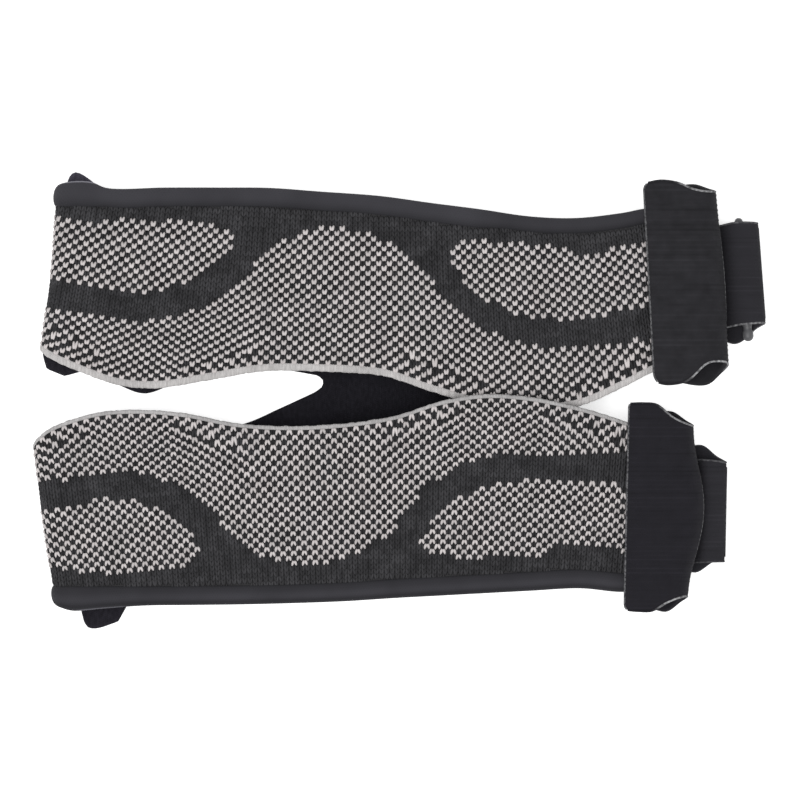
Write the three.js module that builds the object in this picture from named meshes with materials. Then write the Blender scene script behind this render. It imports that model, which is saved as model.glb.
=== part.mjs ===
// A knee support of two knitted bands, lying flat with its front up.
// Millimetres. X runs across the leg, Y along it with the thigh at +Y, and Z away from the surface it lies on.
// Each band is a flattened loop: a knitted front that folds round to the back at -X, a black back panel that
// joins the two bands behind the knee, and a wide elastic strap that folds round at +X and lies on the knit.
import * as THREE from "three";

// Wall thicknesses
const KNIT_WALL = 2.4;
const BACK_WALL = 1.5;
const WIDE_STRAP_WALL = 1.6;
const NARROW_STRAP_WALL = 1.2;

// Edges of a band: how far each reaches across it, and how thick it is
const HEM = { width: 4.6, thickness: 3.0 };
const WELT = { width: 2.4, thickness: 2.6 };
const PIECE_GAP = 0.3;

// Levels of the mid walls above the surface
const FRONT_LEVEL = 10.7;
const UNDER_LEVEL = 3.4;
const STRAP_LEVEL = 13.3;
const STRAP_UNDER_LEVEL = 3.8;

// Grey bars inside the narrow straps
const BAR_RADIUS = 1.2;
const BAR_LEVEL = 2.8;

// Facets: steps between two rows of a table, walls and round edges across, a fold's rows, a bar's sides
const ROW_STEPS = 2;
const WALL_COLUMNS = 6;
const STRAP_COLUMNS = 8;
const EDGE_COLUMNS = 4;
const FOLD_ROWS = 5;
const BAR_SIDES = 16;
const BAR_END_STEPS = 4;
const OUTLINE_STEPS = 4;

const COLOURS = {
  knit: 0x5a5859,
  hem: 0x3f3f43,
  welt: 0xc8c5c5,
  back: 0x1b1a1e,
  wideStrap: 0x2c2c30,
  narrowStrap: 0x2e2d31,
  bar: 0x6e6e72,
};

// Sections across a band's front, from the end under the strap to the left fold. hem and welt are the two ends
// of the section, lift is how far an end stands above FRONT_LEVEL, and crown how far the middle stands above both.
const FRONT_COLUMNS = ["hemX", "hemY", "hemLift", "weltX", "weltY", "weltLift", "crown"];

const UPPER_FRONT = table(FRONT_COLUMNS, [
  [70.0, 47.5, 0.0, 70.0, 9.5, 0.0, 0.2],
  [62.5, 48.0, 0.0, 63.0, 7.0, 0.0, 0.2],
  [55.0, 46.7, 0.1, 55.0, 3.0, -0.2, 0.4],
  [43.8, 45.5, 0.3, 45.0, -1.3, -0.9, 0.6],
  [32.5, 45.9, 0.5, 32.5, -2.8, -1.1, 0.8],
  [20.0, 47.7, 0.6, 20.0, -1.2, -1.1, 0.9],
  [7.5, 49.3, 0.7, 7.5, 2.4, -0.6, 0.9],
  [-5.0, 51.0, 0.8, -3.8, 6.1, 0.1, 0.9],
  [-20.0, 52.1, 0.9, -19.5, 7.3, 0.5, 0.9],
  [-32.5, 53.0, 0.9, -34.5, 7.3, 0.7, 0.9],
  [-45.0, 53.1, 0.8, -47.5, 5.2, 0.6, 0.8],
  [-58.8, 53.2, 0.6, -61.2, 3.1, 0.5, 0.7],
  [-70.0, 53.2, 0.3, -70.5, 3.9, 0.3, 0.5],
  [-76.5, 54.3, 0.1, -79.0, 6.8, 0.1, 0.3],
]);

const LOWER_FRONT = table(FRONT_COLUMNS, [
  [64.0, -47.2, 0.0, 65.0, -8.0, 0.0, 0.2],
  [55.5, -48.0, 0.0, 56.2, -5.1, 0.1, 0.2],
  [45.0, -46.9, 0.1, 45.0, -1.7, 1.9, 0.4],
  [32.5, -47.5, 0.3, 32.5, 0.9, 2.3, 0.5],
  [21.2, -48.1, 0.5, 21.2, 1.6, 2.4, 0.6],
  [10.0, -48.7, 0.6, 10.0, -0.2, 2.1, 0.7],
  [-1.2, -49.3, 0.7, -1.2, -3.8, 1.2, 0.8],
  [-13.8, -50.2, 0.8, -13.8, -5.7, 0.8, 0.9],
  [-27.5, -50.6, 0.9, -27.5, -6.4, 0.7, 0.9],
  [-40.0, -51.0, 0.9, -41.2, -5.6, 0.7, 0.9],
  [-52.5, -51.1, 0.7, -53.8, -3.2, 0.6, 0.8],
  [-63.8, -51.2, 0.5, -65.0, -2.3, 0.4, 0.6],
  [-74.0, -51.8, 0.2, -76.2, -3.1, 0.2, 0.4],
]);

// A fold's two ends: edgeX is where the mid wall turns back, and Y runs from over the fold, past its edge, to
// under it. bulge is how far the fold's middle stands out along X from the line between its ends.
const FOLD_COLUMNS = ["edgeX", "overY", "edgeY", "underY"];

const UPPER_FOLD = {
  hem: entry(FOLD_COLUMNS, [-85.1, 55.2, 54.0, 51.5]),
  welt: entry(FOLD_COLUMNS, [-88.5, 9.6, 12.4, 14.0]),
  bulge: 0.3,
};
const LOWER_FOLD = {
  hem: entry(FOLD_COLUMNS, [-85.2, -52.4, -51.0, -49.4]),
  welt: entry(FOLD_COLUMNS, [-90.5, -6.7, -11.0, -14.0]),
  bulge: -0.6,
};

// Sections of a ribbon behind the band, where it is flat
const FLAT_COLUMNS = ["hemX", "hemY", "weltX", "weltY"];

const UPPER_RETURN = table(FLAT_COLUMNS, [
  [-72.0, 50.6, -74.0, 14.5],
  [-62.0, 50.0, -63.0, 14.0],
]);
const LOWER_RETURN = table(FLAT_COLUMNS, [
  [-72.0, -48.6, -75.0, -14.5],
  [-62.0, -48.0, -63.0, -14.5],
]);

// Sections across the wide straps: the flap on the knit, the fold at the right end, and the run behind
const FLAP_COLUMNS = ["topX", "topY", "bottomX", "bottomY"];
const RUN_COLUMNS = ["topX", "topY", "bottomX", "bottomY", "z"];

const UPPER_WIDE = {
  flap: table(FLAP_COLUMNS, [
    [60.8, 54.2, 63.5, 4.4],
    [65.0, 55.2, 66.8, 3.5],
    [69.5, 54.8, 71.8, 4.6],
  ]),
  top: entry(FOLD_COLUMNS, [78.0, 52.8, 52.2, 54.0]),
  bottom: entry(FOLD_COLUMNS, [81.2, 9.2, 8.8, 3.9]),
  bulge: 0.5,
  run: table(RUN_COLUMNS, [
    [67.0, 53.0, 68.5, 5.0, 3.0],
    [61.8, 51.5, 62.4, 7.5, 2.7],
  ]),
};
const LOWER_WIDE = {
  flap: table(FLAP_COLUMNS, [
    [57.2, -1.1, 56.0, -52.0],
    [60.5, -0.4, 59.5, -53.1],
    [64.2, -1.0, 63.0, -52.9],
  ]),
  top: entry(FOLD_COLUMNS, [72.4, -3.7, -5.9, -3.2]),
  bottom: entry(FOLD_COLUMNS, [71.1, -51.2, -49.6, -52.9]),
  bulge: 3.2,
  run: table(RUN_COLUMNS, [
    [62.5, -3.5, 61.5, -51.5, 3.0],
    [58.0, -5.0, 57.4, -50.0, 2.7],
  ]),
};

// Sections along the narrow straps, out from under the wide strap, over the bar, round the end and back
const UPPER_NARROW = table(RUN_COLUMNS, [
  [75.0, 43.6, 76.5, 18.2, 2.1],
  [79.4, 43.6, 80.6, 18.0, 2.5],
  [83.8, 44.5, 85.6, 18.9, 4.9],
  [87.2, 44.6, 89.0, 19.2, 4.7],
  [89.1, 44.3, 91.0, 19.2, 2.8],
  [87.4, 43.8, 90.1, 16.2, 0.9],
  [83.5, 43.4, 84.5, 14.2, 0.8],
  [78.0, 43.2, 79.0, 16.0, 0.7],
  [67.0, 43.0, 67.5, 18.0, 0.7],
]);
const LOWER_NARROW = table(RUN_COLUMNS, [
  [68.5, -15.3, 68.3, -40.4, 2.1],
  [73.4, -15.0, 73.2, -40.8, 2.5],
  [76.9, -15.0, 76.3, -40.7, 4.8],
  [79.2, -15.3, 78.6, -40.5, 4.0],
  [81.1, -15.6, 80.6, -40.4, 2.4],
  [79.4, -14.2, 79.0, -40.4, 0.9],
  [76.0, -11.5, 74.4, -43.2, 0.8],
  [72.0, -12.0, 71.0, -42.4, 0.7],
  [62.0, -15.0, 61.5, -41.0, 0.7],
]);

// The bars' ends, seen from above
const BAR_COLUMNS = ["topX", "topY", "bottomX", "bottomY"];
const UPPER_BAR = entry(BAR_COLUMNS, [84.9, 45.7, 87.2, 14.6]);
const LOWER_BAR = entry(BAR_COLUMNS, [77.1, -13.2, 76.5, -42.2]);

// The back panel's outline, anticlockwise in stretches that are each one smooth curve
const BACK_OUTLINE = [
  { stretch: "upper arms, thigh edge", points: [[65, 45], [45, 43], [0, 48], [-40, 51], [-74, 51.5]] },
  { stretch: "corner above the hem", points: [[-76.5, 54.6], [-80.8, 57.2], [-82.4, 56.8], [-83.6, 54]] },
  { stretch: "upper left end", points: [[-85.4, 50], [-88, 22], [-89.2, 12], [-88.2, 8]] },
  { stretch: "upper left arm, knee edge", points: [
    [-84.2, 6.3], [-78, 7.2], [-70, 3.7], [-63.8, 1.6], [-57, 4], [-46, 7.8], [-34, 8.4], [-26, 7.1], [-21, 6.2]] },
  { stretch: "left end of the waist", points: [[-19.9, 5], [-20.1, 3.6], [-21.9, 2]] },
  { stretch: "lower left arm, knee edge", points: [[-30.5, -2], [-39.3, -5.8], [-58, -9.5], [-84, -11.5]] },
  { stretch: "lower left end", points: [[-88.4, -14.5], [-86, -46], [-80.2, -50.4]] },
  { stretch: "corner below the hem", points: [[-79.2, -55.4], [-77.6, -57], [-75.4, -57.1], [-70.8, -55.3]] },
  { stretch: "lower arms, calf edge", points: [[-68.2, -51], [-62, -49], [-10, -47.5], [40, -44.5], [59.5, -45]] },
  { stretch: "lower right arm, knee edge", points: [[59.5, -9.2], [47, -6.6], [41.5, -3]] },
  { stretch: "right end of the waist", points: [[40, -0.5], [40.6, 2], [43, 4.2]] },
  { stretch: "upper right arm, knee edge", points: [[48, 6.4], [65, 8.8]] },
];

// A table's rows as objects with the named columns
function table(columns, rows) {
  return rows.map((row) => entry(columns, row));
}

function entry(columns, values) {
  return Object.fromEntries(columns.map((column, index) => [column, values[index]]));
}

// A value that passes through three given ones at 0, a half and 1
function through(start, middle, end, t) {
  return start * (1 - t) * (1 - 2 * t) + middle * 4 * t * (1 - t) + end * t * (2 * t - 1);
}

// The rows of a half-round fold between two levels. side is -1 where it turns back at -X and 1 at +X.
function foldRows(first, second, overLevel, underLevel, side, bulge) {
  const radius = (overLevel - underLevel) / 2;
  const rows = [];
  for (let index = 0; index < FOLD_ROWS; index += 1) {
    const t = index / (FOLD_ROWS - 1);
    const out = side * radius * (Math.sin(Math.PI * t) - 1);
    const z = (overLevel + underLevel) / 2 + radius * Math.cos(Math.PI * t);
    rows.push({
      first: new THREE.Vector3(first.edgeX + out, through(first.overY, first.edgeY, first.underY, t), z),
      second: new THREE.Vector3(second.edgeX + out, through(second.overY, second.edgeY, second.underY, t), z),
      crown: 0,
      bulge: bulge * Math.sin(Math.PI * t),
    });
  }
  return rows;
}

// A band's rows along its loop, from the end under the strap, over the front, round the fold and behind
function bandRows(front, fold, behind) {
  const overFront = front.map((row) => ({
    first: new THREE.Vector3(row.hemX, row.hemY, FRONT_LEVEL + row.hemLift),
    second: new THREE.Vector3(row.weltX, row.weltY, FRONT_LEVEL + row.weltLift),
    crown: row.crown,
    bulge: 0,
  }));
  const underBack = behind.map((row) => ({
    first: new THREE.Vector3(row.hemX, row.hemY, UNDER_LEVEL),
    second: new THREE.Vector3(row.weltX, row.weltY, UNDER_LEVEL),
    crown: 0,
    bulge: 0,
  }));
  const overFold = foldRows(fold.hem, fold.welt, FRONT_LEVEL, UNDER_LEVEL, -1, fold.bulge);
  return [...overFront, ...overFold, ...underBack];
}

// A strap's rows from a table whose rows give two ends and a level
function runRows(run) {
  return run.map((row) => ({
    first: new THREE.Vector3(row.topX, row.topY, row.z),
    second: new THREE.Vector3(row.bottomX, row.bottomY, row.z),
    crown: 0,
    bulge: 0,
  }));
}

function wideStrapRows(strap) {
  const flap = strap.flap.map((row) => ({ ...row, z: STRAP_LEVEL }));
  const fold = foldRows(strap.top, strap.bottom, STRAP_LEVEL, STRAP_UNDER_LEVEL, 1, strap.bulge);
  return [...runRows(flap), ...fold, ...runRows(strap.run)];
}

// The mid wall of a ribbon: the surface between two smooth edges through its rows
class Ribbon {
  constructor(rows) {
    const curve = (points) => new THREE.CatmullRomCurve3(points, false, "centripetal");
    this.first = curve(rows.map((row) => row.first));
    this.second = curve(rows.map((row) => row.second));
    this.stand = curve(rows.map((row, index) => new THREE.Vector3(row.bulge, index, row.crown)));
    this.steps = (rows.length - 1) * ROW_STEPS;
    this.side = 1;
    this.side = Math.sign(this.normal(0, 0.5).z);
  }

  // The place at u along the ribbon and f across it, both from 0 to 1
  point(u, f) {
    const stand = this.stand.getPoint(u);
    const place = this.first.getPoint(u).lerp(this.second.getPoint(u), f);
    place.z += stand.z * 4 * f * (1 - f);
    place.x += stand.x * Math.sin(Math.PI * f) ** 2;
    return place;
  }

  // The way out of the ribbon's upper face
  normal(u, f) {
    const reach = 1e-3;
    const along = this.point(Math.min(1, u + reach), f).sub(this.point(Math.max(0, u - reach), f));
    const across = this.point(u, Math.min(1, f + reach)).sub(this.point(u, Math.max(0, f - reach)));
    return along.cross(across).normalize().multiplyScalar(this.side);
  }

  width(u) {
    return this.first.getPoint(u).distanceTo(this.second.getPoint(u));
  }
}

// The share of the width and the half thickness at each column of a flat wall between two distances from the
// ribbon's edges
function flatColumns(columns, thickness, fromFirst, fromSecond) {
  return (width) => Array.from({ length: columns + 1 }, (_, index) => ({
    f: (fromFirst + (width - fromFirst - fromSecond) * (index / columns)) / width,
    half: thickness / 2,
  }));
}

// The same for a round edge of a given width and thickness that starts at a distance from the first edge
function roundColumns(edge, start) {
  return (width) => Array.from({ length: EDGE_COLUMNS + 1 }, (_, index) => {
    const turn = (Math.PI * index) / EDGE_COLUMNS;
    const rim = index === 0 || index === EDGE_COLUMNS;
    return {
      f: (start(width) + (edge.width * (1 - Math.cos(turn))) / 2) / width,
      half: rim ? 0 : (edge.thickness / 2) * Math.sin(turn),
    };
  });
}

// A closed solid along a ribbon, from its columns' upper and lower points at each step
function ribbonSolid(ribbon, columnsAt) {
  const positions = [];
  const triangles = [];
  const addPoint = (point) => positions.push(point.x, point.y, point.z) / 3 - 1;
  const addQuad = (a, b, c, d) => triangles.push([a, b, c], [a, c, d]);
  const sections = [];
  for (let step = 0; step <= ribbon.steps; step += 1) {
    const u = step / ribbon.steps;
    const section = columnsAt(ribbon.width(u)).map(({ f, half }) => {
      const middle = ribbon.point(u, f);
      const out = ribbon.normal(u, f).multiplyScalar(half);
      const upper = addPoint(middle.clone().add(out));
      const lower = half === 0 ? upper : addPoint(middle.clone().sub(out));
      return { upper, lower };
    });
    sections.push(section);
  }
  const last = sections[0].length - 1;
  for (let step = 0; step < ribbon.steps; step += 1) {
    const [near, far] = [sections[step], sections[step + 1]];
    for (let column = 0; column < last; column += 1) {
      addQuad(near[column].upper, near[column + 1].upper, far[column + 1].upper, far[column].upper);
      addQuad(near[column].lower, far[column].lower, far[column + 1].lower, near[column + 1].lower);
    }
    addQuad(near[0].lower, near[0].upper, far[0].upper, far[0].lower);
    addQuad(near[last].upper, near[last].lower, far[last].lower, far[last].upper);
  }
  const [start, end] = [sections[0], sections[ribbon.steps]];
  for (let column = 0; column < last; column += 1) {
    addQuad(start[column].lower, start[column + 1].lower, start[column + 1].upper, start[column].upper);
    addQuad(end[column].upper, end[column + 1].upper, end[column + 1].lower, end[column].lower);
  }
  const whole = triangles.filter(([a, b, c]) => a !== b && b !== c && c !== a);
  return closedGeometry(positions, whole);
}

// A geometry whose faces point out of the solid that they close
function closedGeometry(positions, triangles) {
  const corner = (index) => new THREE.Vector3().fromArray(positions, index * 3);
  const volume = triangles.reduce((sum, [a, b, c]) => sum + corner(a).dot(corner(b).cross(corner(c))), 0);
  const facing = volume > 0 ? triangles : triangles.map(([a, b, c]) => [a, c, b]);
  const geometry = new THREE.BufferGeometry();
  geometry.setAttribute("position", new THREE.Float32BufferAttribute(positions, 3));
  geometry.setIndex(facing.flat());
  geometry.computeVertexNormals();
  return geometry;
}

function cloth(name, geometry, color) {
  const mesh = new THREE.Mesh(geometry, new THREE.MeshStandardMaterial({ color, roughness: 0.95, metalness: 0 }));
  mesh.name = name;
  return mesh;
}

// One band: its knitted panel, the hem along its outer edge and the welt along its inner edge
function band(place, rows) {
  const group = new THREE.Group();
  const ribbon = new Ribbon(rows);
  const panel = flatColumns(WALL_COLUMNS, KNIT_WALL, HEM.width + PIECE_GAP, WELT.width + PIECE_GAP);
  const hem = roundColumns(HEM, () => 0);
  const welt = roundColumns(WELT, (width) => width - WELT.width);
  group.add(cloth(`${place}_knit_panel`, ribbonSolid(ribbon, panel), COLOURS.knit));
  group.add(cloth(`${place}_outer_hem`, ribbonSolid(ribbon, hem), COLOURS.hem));
  group.add(cloth(`${place}_inner_welt`, ribbonSolid(ribbon, welt), COLOURS.welt));
  return group;
}

// One closure: the wide strap, the narrow strap's loop and the bar inside that loop
function closure(place, wide, narrow, bar) {
  const group = new THREE.Group();
  const wideWall = flatColumns(STRAP_COLUMNS, WIDE_STRAP_WALL, 0, 0);
  const narrowWall = flatColumns(STRAP_COLUMNS, NARROW_STRAP_WALL, 0, 0);
  const wideRibbon = new Ribbon(wideStrapRows(wide));
  const narrowRibbon = new Ribbon(runRows(narrow));
  group.add(cloth(`${place}_wide_strap`, ribbonSolid(wideRibbon, wideWall), COLOURS.wideStrap));
  group.add(cloth(`${place}_narrow_strap`, ribbonSolid(narrowRibbon, narrowWall), COLOURS.narrowStrap));
  group.add(strapBar(`${place}_strap_bar`, bar));
  return group;
}

// A round bar with half-round ends, lying between two points seen from above
function strapBar(name, ends) {
  const top = new THREE.Vector3(ends.topX, ends.topY, BAR_LEVEL);
  const bottom = new THREE.Vector3(ends.bottomX, ends.bottomY, BAR_LEVEL);
  const half = top.distanceTo(bottom) / 2 - BAR_RADIUS;
  const profile = [];
  for (const end of [-1, 1]) {
    for (let step = 0; step <= BAR_END_STEPS; step += 1) {
      const turn = ((end < 0 ? step : BAR_END_STEPS - step) / BAR_END_STEPS) * (Math.PI / 2);
      const radius = step === (end < 0 ? 0 : BAR_END_STEPS) ? 0 : BAR_RADIUS * Math.sin(turn);
      profile.push(new THREE.Vector2(radius, end * (half + BAR_RADIUS * Math.cos(turn))));
    }
  }
  const material = new THREE.MeshStandardMaterial({ color: COLOURS.bar, roughness: 0.45, metalness: 0.1 });
  const mesh = new THREE.Mesh(new THREE.LatheGeometry(profile, BAR_SIDES), material);
  mesh.name = name;
  mesh.position.copy(top).add(bottom).multiplyScalar(0.5);
  mesh.quaternion.setFromUnitVectors(new THREE.Vector3(0, 1, 0), top.sub(bottom).normalize());
  return mesh;
}

// The black cloth behind both bands, flat on the surface
function backPanel() {
  const shape = new THREE.Shape();
  BACK_OUTLINE.forEach(({ points }, index) => {
    const corners = points.map(([x, y]) => new THREE.Vector2(x, y));
    if (index === 0) {
      shape.moveTo(corners[0].x, corners[0].y);
    } else {
      shape.lineTo(corners[0].x, corners[0].y);
    }
    shape.splineThru(corners.slice(1));
  });
  const solid = new THREE.ExtrudeGeometry(shape, {
    depth: BACK_WALL,
    bevelEnabled: false,
    curveSegments: OUTLINE_STEPS,
  });
  return cloth("back_panel", solid, COLOURS.back);
}

const kneeSupport = new THREE.Group();
kneeSupport.add(band("upper", bandRows(UPPER_FRONT, UPPER_FOLD, UPPER_RETURN)));
kneeSupport.add(band("lower", bandRows(LOWER_FRONT, LOWER_FOLD, LOWER_RETURN)));
kneeSupport.add(backPanel());
kneeSupport.add(closure("upper", UPPER_WIDE, UPPER_NARROW, UPPER_BAR));
kneeSupport.add(closure("lower", LOWER_WIDE, LOWER_NARROW, LOWER_BAR));

// The origin is under the middle of the whole support
const box = new THREE.Box3().setFromObject(kneeSupport);
const middle = box.getCenter(new THREE.Vector3());
kneeSupport.position.set(-middle.x, -middle.y, -box.min.z);

export default kneeSupport;
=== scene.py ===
"""A knee support of two knitted bands, lying flat with its front up, dressed for a studio picture.

Sizes and places are millimetres until a mesh is made, which is in metres. X runs across the leg,
Y along it with the thigh at +Y, and Z away from the surface that the support lies on.
"""

import logging
import math
from collections.abc import Sequence
from dataclasses import dataclass, replace
from enum import Enum
from typing import NamedTuple

import bpy
import numpy as np
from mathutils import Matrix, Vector
from mathutils.geometry import delaunay_2d_cdt


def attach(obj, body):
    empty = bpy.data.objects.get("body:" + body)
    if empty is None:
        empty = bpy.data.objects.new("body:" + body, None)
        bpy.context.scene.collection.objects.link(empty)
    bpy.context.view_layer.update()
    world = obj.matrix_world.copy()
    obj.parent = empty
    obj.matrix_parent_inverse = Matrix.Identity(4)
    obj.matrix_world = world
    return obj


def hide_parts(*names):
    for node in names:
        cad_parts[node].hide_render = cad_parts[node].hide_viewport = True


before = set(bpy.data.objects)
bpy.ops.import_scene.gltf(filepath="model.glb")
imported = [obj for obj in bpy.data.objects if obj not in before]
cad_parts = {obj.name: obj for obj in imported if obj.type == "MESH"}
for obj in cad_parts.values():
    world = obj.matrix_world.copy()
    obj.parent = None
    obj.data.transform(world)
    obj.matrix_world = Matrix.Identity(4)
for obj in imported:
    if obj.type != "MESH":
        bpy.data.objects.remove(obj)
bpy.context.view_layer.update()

LOG = logging.getLogger("knee_support")
MM = 0.001
BODY = "root"
CLOTH_UV = "cloth"
TONE = "tone"
PALE = "pale"
TURN = "turn"
SHADE = "shade"
STRETCH = "stretch"
FRONT_LEVEL = 10.7
BAND_UNDER_LEVEL = 3.4
STRAP_UNDER_LEVEL = 3.8
FOLD_STEPS = 5
EDGE_STEPS = 5
BORDER_STEPS = 400
NOISE_SPAN = (0.3, 0.7)
WHITE = (1.0, 1.0, 1.0, 1.0)

Array = np.ndarray
Object = bpy.types.Object
Material = bpy.types.Material
Node = bpy.types.Node
Socket = bpy.types.NodeSocket
Colour = tuple[float, float, float]
Span = tuple[float, float]


class Slot(Enum):
    """Names of material slots."""

    KNIT = "knit"
    HEM = "hem"
    WELT = "welt"
    BACK = "back_cloth"
    ELASTIC = "elastic"
    WEBBING = "webbing"
    BAR = "bar"


class Hold(Enum):
    """How a sheet of cloth is held."""

    FOLDED = "folded"
    LAID = "laid"


class Side(Enum):
    """Which way along the leg a band's hem lies from the kneecap."""

    UPPER = 1
    LOWER = -1


class FrontRow(NamedTuple):
    """A section across a band's front: how far its ends stand over the level, its middle over both."""

    hem_x: float
    hem_y: float
    hem_lift: float
    welt_x: float
    welt_y: float
    welt_lift: float
    crown: float


class FoldEnd(NamedTuple):
    """One end of a fold: where the wall turns back, and Y over the fold, at its edge and under it."""

    edge_x: float
    over_y: float
    edge_y: float
    under_y: float


class Row(NamedTuple):
    """A section across a ribbon, and its level."""

    first_x: float
    first_y: float
    second_x: float
    second_y: float
    z: float


class Spot(NamedTuple):
    """A place on a band: X, and the distance from the knee line."""

    x: float
    out: float


class Section(NamedTuple):
    """A section of a ribbon in space: its two ends, and how far its middle stands up and out along X."""

    first: tuple[float, float, float]
    second: tuple[float, float, float]
    crown: float = 0.0
    bulge: float = 0.0


def table(kind: type, *rows: tuple[float, ...]) -> list:
    """A table's rows with named columns."""
    return [kind(*row) for row in rows]


def smooth_step(values: Array, low: float, high: float) -> Array:
    """Rises smoothly from 0 at low to 1 at high."""
    t = np.clip((values - low) / (high - low), 0.0, 1.0)
    return t * t * (3 - 2 * t)


def travel(line: Array) -> Array:
    """The distance along a line at each of its points."""
    return np.concatenate([[0.0], np.cumsum(np.linalg.norm(np.diff(line, axis=0), axis=1))])


def spline(knots: Array, at: Array) -> Array:
    """Follows a smooth centripetal curve through its knots.

    Args:
        knots: One row for each knot.
        at: Places from 0, the first knot, to 1, the last one.

    Returns:
        One point for each place.
    """
    padded = np.vstack([2 * knots[0] - knots[1], knots, 2 * knots[-1] - knots[-2]])
    place = np.clip(at, 0.0, 1.0) * (len(knots) - 1)
    span = np.minimum(place.astype(int), len(knots) - 2)
    t = (place - span)[..., None]
    p0, p1, p2, p3 = (padded[span + offset] for offset in range(4))
    pairs = ((p0, p1), (p1, p2), (p2, p3))
    d0, d1, d2 = (np.sqrt(np.linalg.norm(b - a, axis=-1, keepdims=True)) for a, b in pairs)
    start = d1 * ((p1 - p0) / d0 - (p2 - p0) / (d0 + d1) + (p2 - p1) / d1)
    end = d1 * ((p2 - p1) / d1 - (p3 - p1) / (d1 + d2) + (p3 - p2) / d2)
    bend = 3 * (p2 - p1) - 2 * start - end
    twist = 2 * (p1 - p2) + start + end
    return p1 + start * t + bend * t**2 + twist * t**3


def run_sections(rows: list[Row]) -> list[Section]:
    """Sections from rows that give two ends and a level."""
    return [Section((r.first_x, r.first_y, r.z), (r.second_x, r.second_y, r.z)) for r in rows]


def fold_sections(
    ends: Sequence[FoldEnd], over: float, under: float, side: int, bulge: float
) -> list[Section]:
    """Lays out the sections of a half-round fold.

    Args:
        ends: The fold's ends on the ribbon's first and second edge.
        over: The level above the fold.
        under: The level below it.
        side: -1 where the fold turns back at -X, 1 at +X.
        bulge: How far the fold's middle stands out along X.

    Returns:
        The sections, from over to under.
    """
    radius = (over - under) / 2
    sections = []
    for t in np.linspace(0.0, 1.0, FOLD_STEPS):
        out = side * radius * (math.sin(math.pi * t) - 1)
        z = (over + under) / 2 + radius * math.cos(math.pi * t)
        shares = ((1 - t) * (1 - 2 * t), 4 * t * (1 - t), t * (2 * t - 1))
        places = []
        for end in ends:
            y = sum(part * share for part, share in zip(end[1:], shares))
            places.append((end.edge_x + out, y, z))
        sections.append(Section(*places, bulge=bulge * math.sin(math.pi * t)))
    return sections


def wide_sections(
    flap: list[Row], fold: Sequence[FoldEnd], bulge: float, run: list[Row]
) -> list[Section]:
    """Lays out a wide strap.

    Args:
        flap: Rows of the flap on the knit.
        fold: The upper and lower end of the fold at the right.
        bulge: How far the fold's middle stands out.
        run: Rows of the run behind.

    Returns:
        The strap's sections.
    """
    turn = fold_sections(fold, flap[-1].z, STRAP_UNDER_LEVEL, 1, bulge)
    return [*run_sections(flap), *turn, *run_sections(run)]


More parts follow.
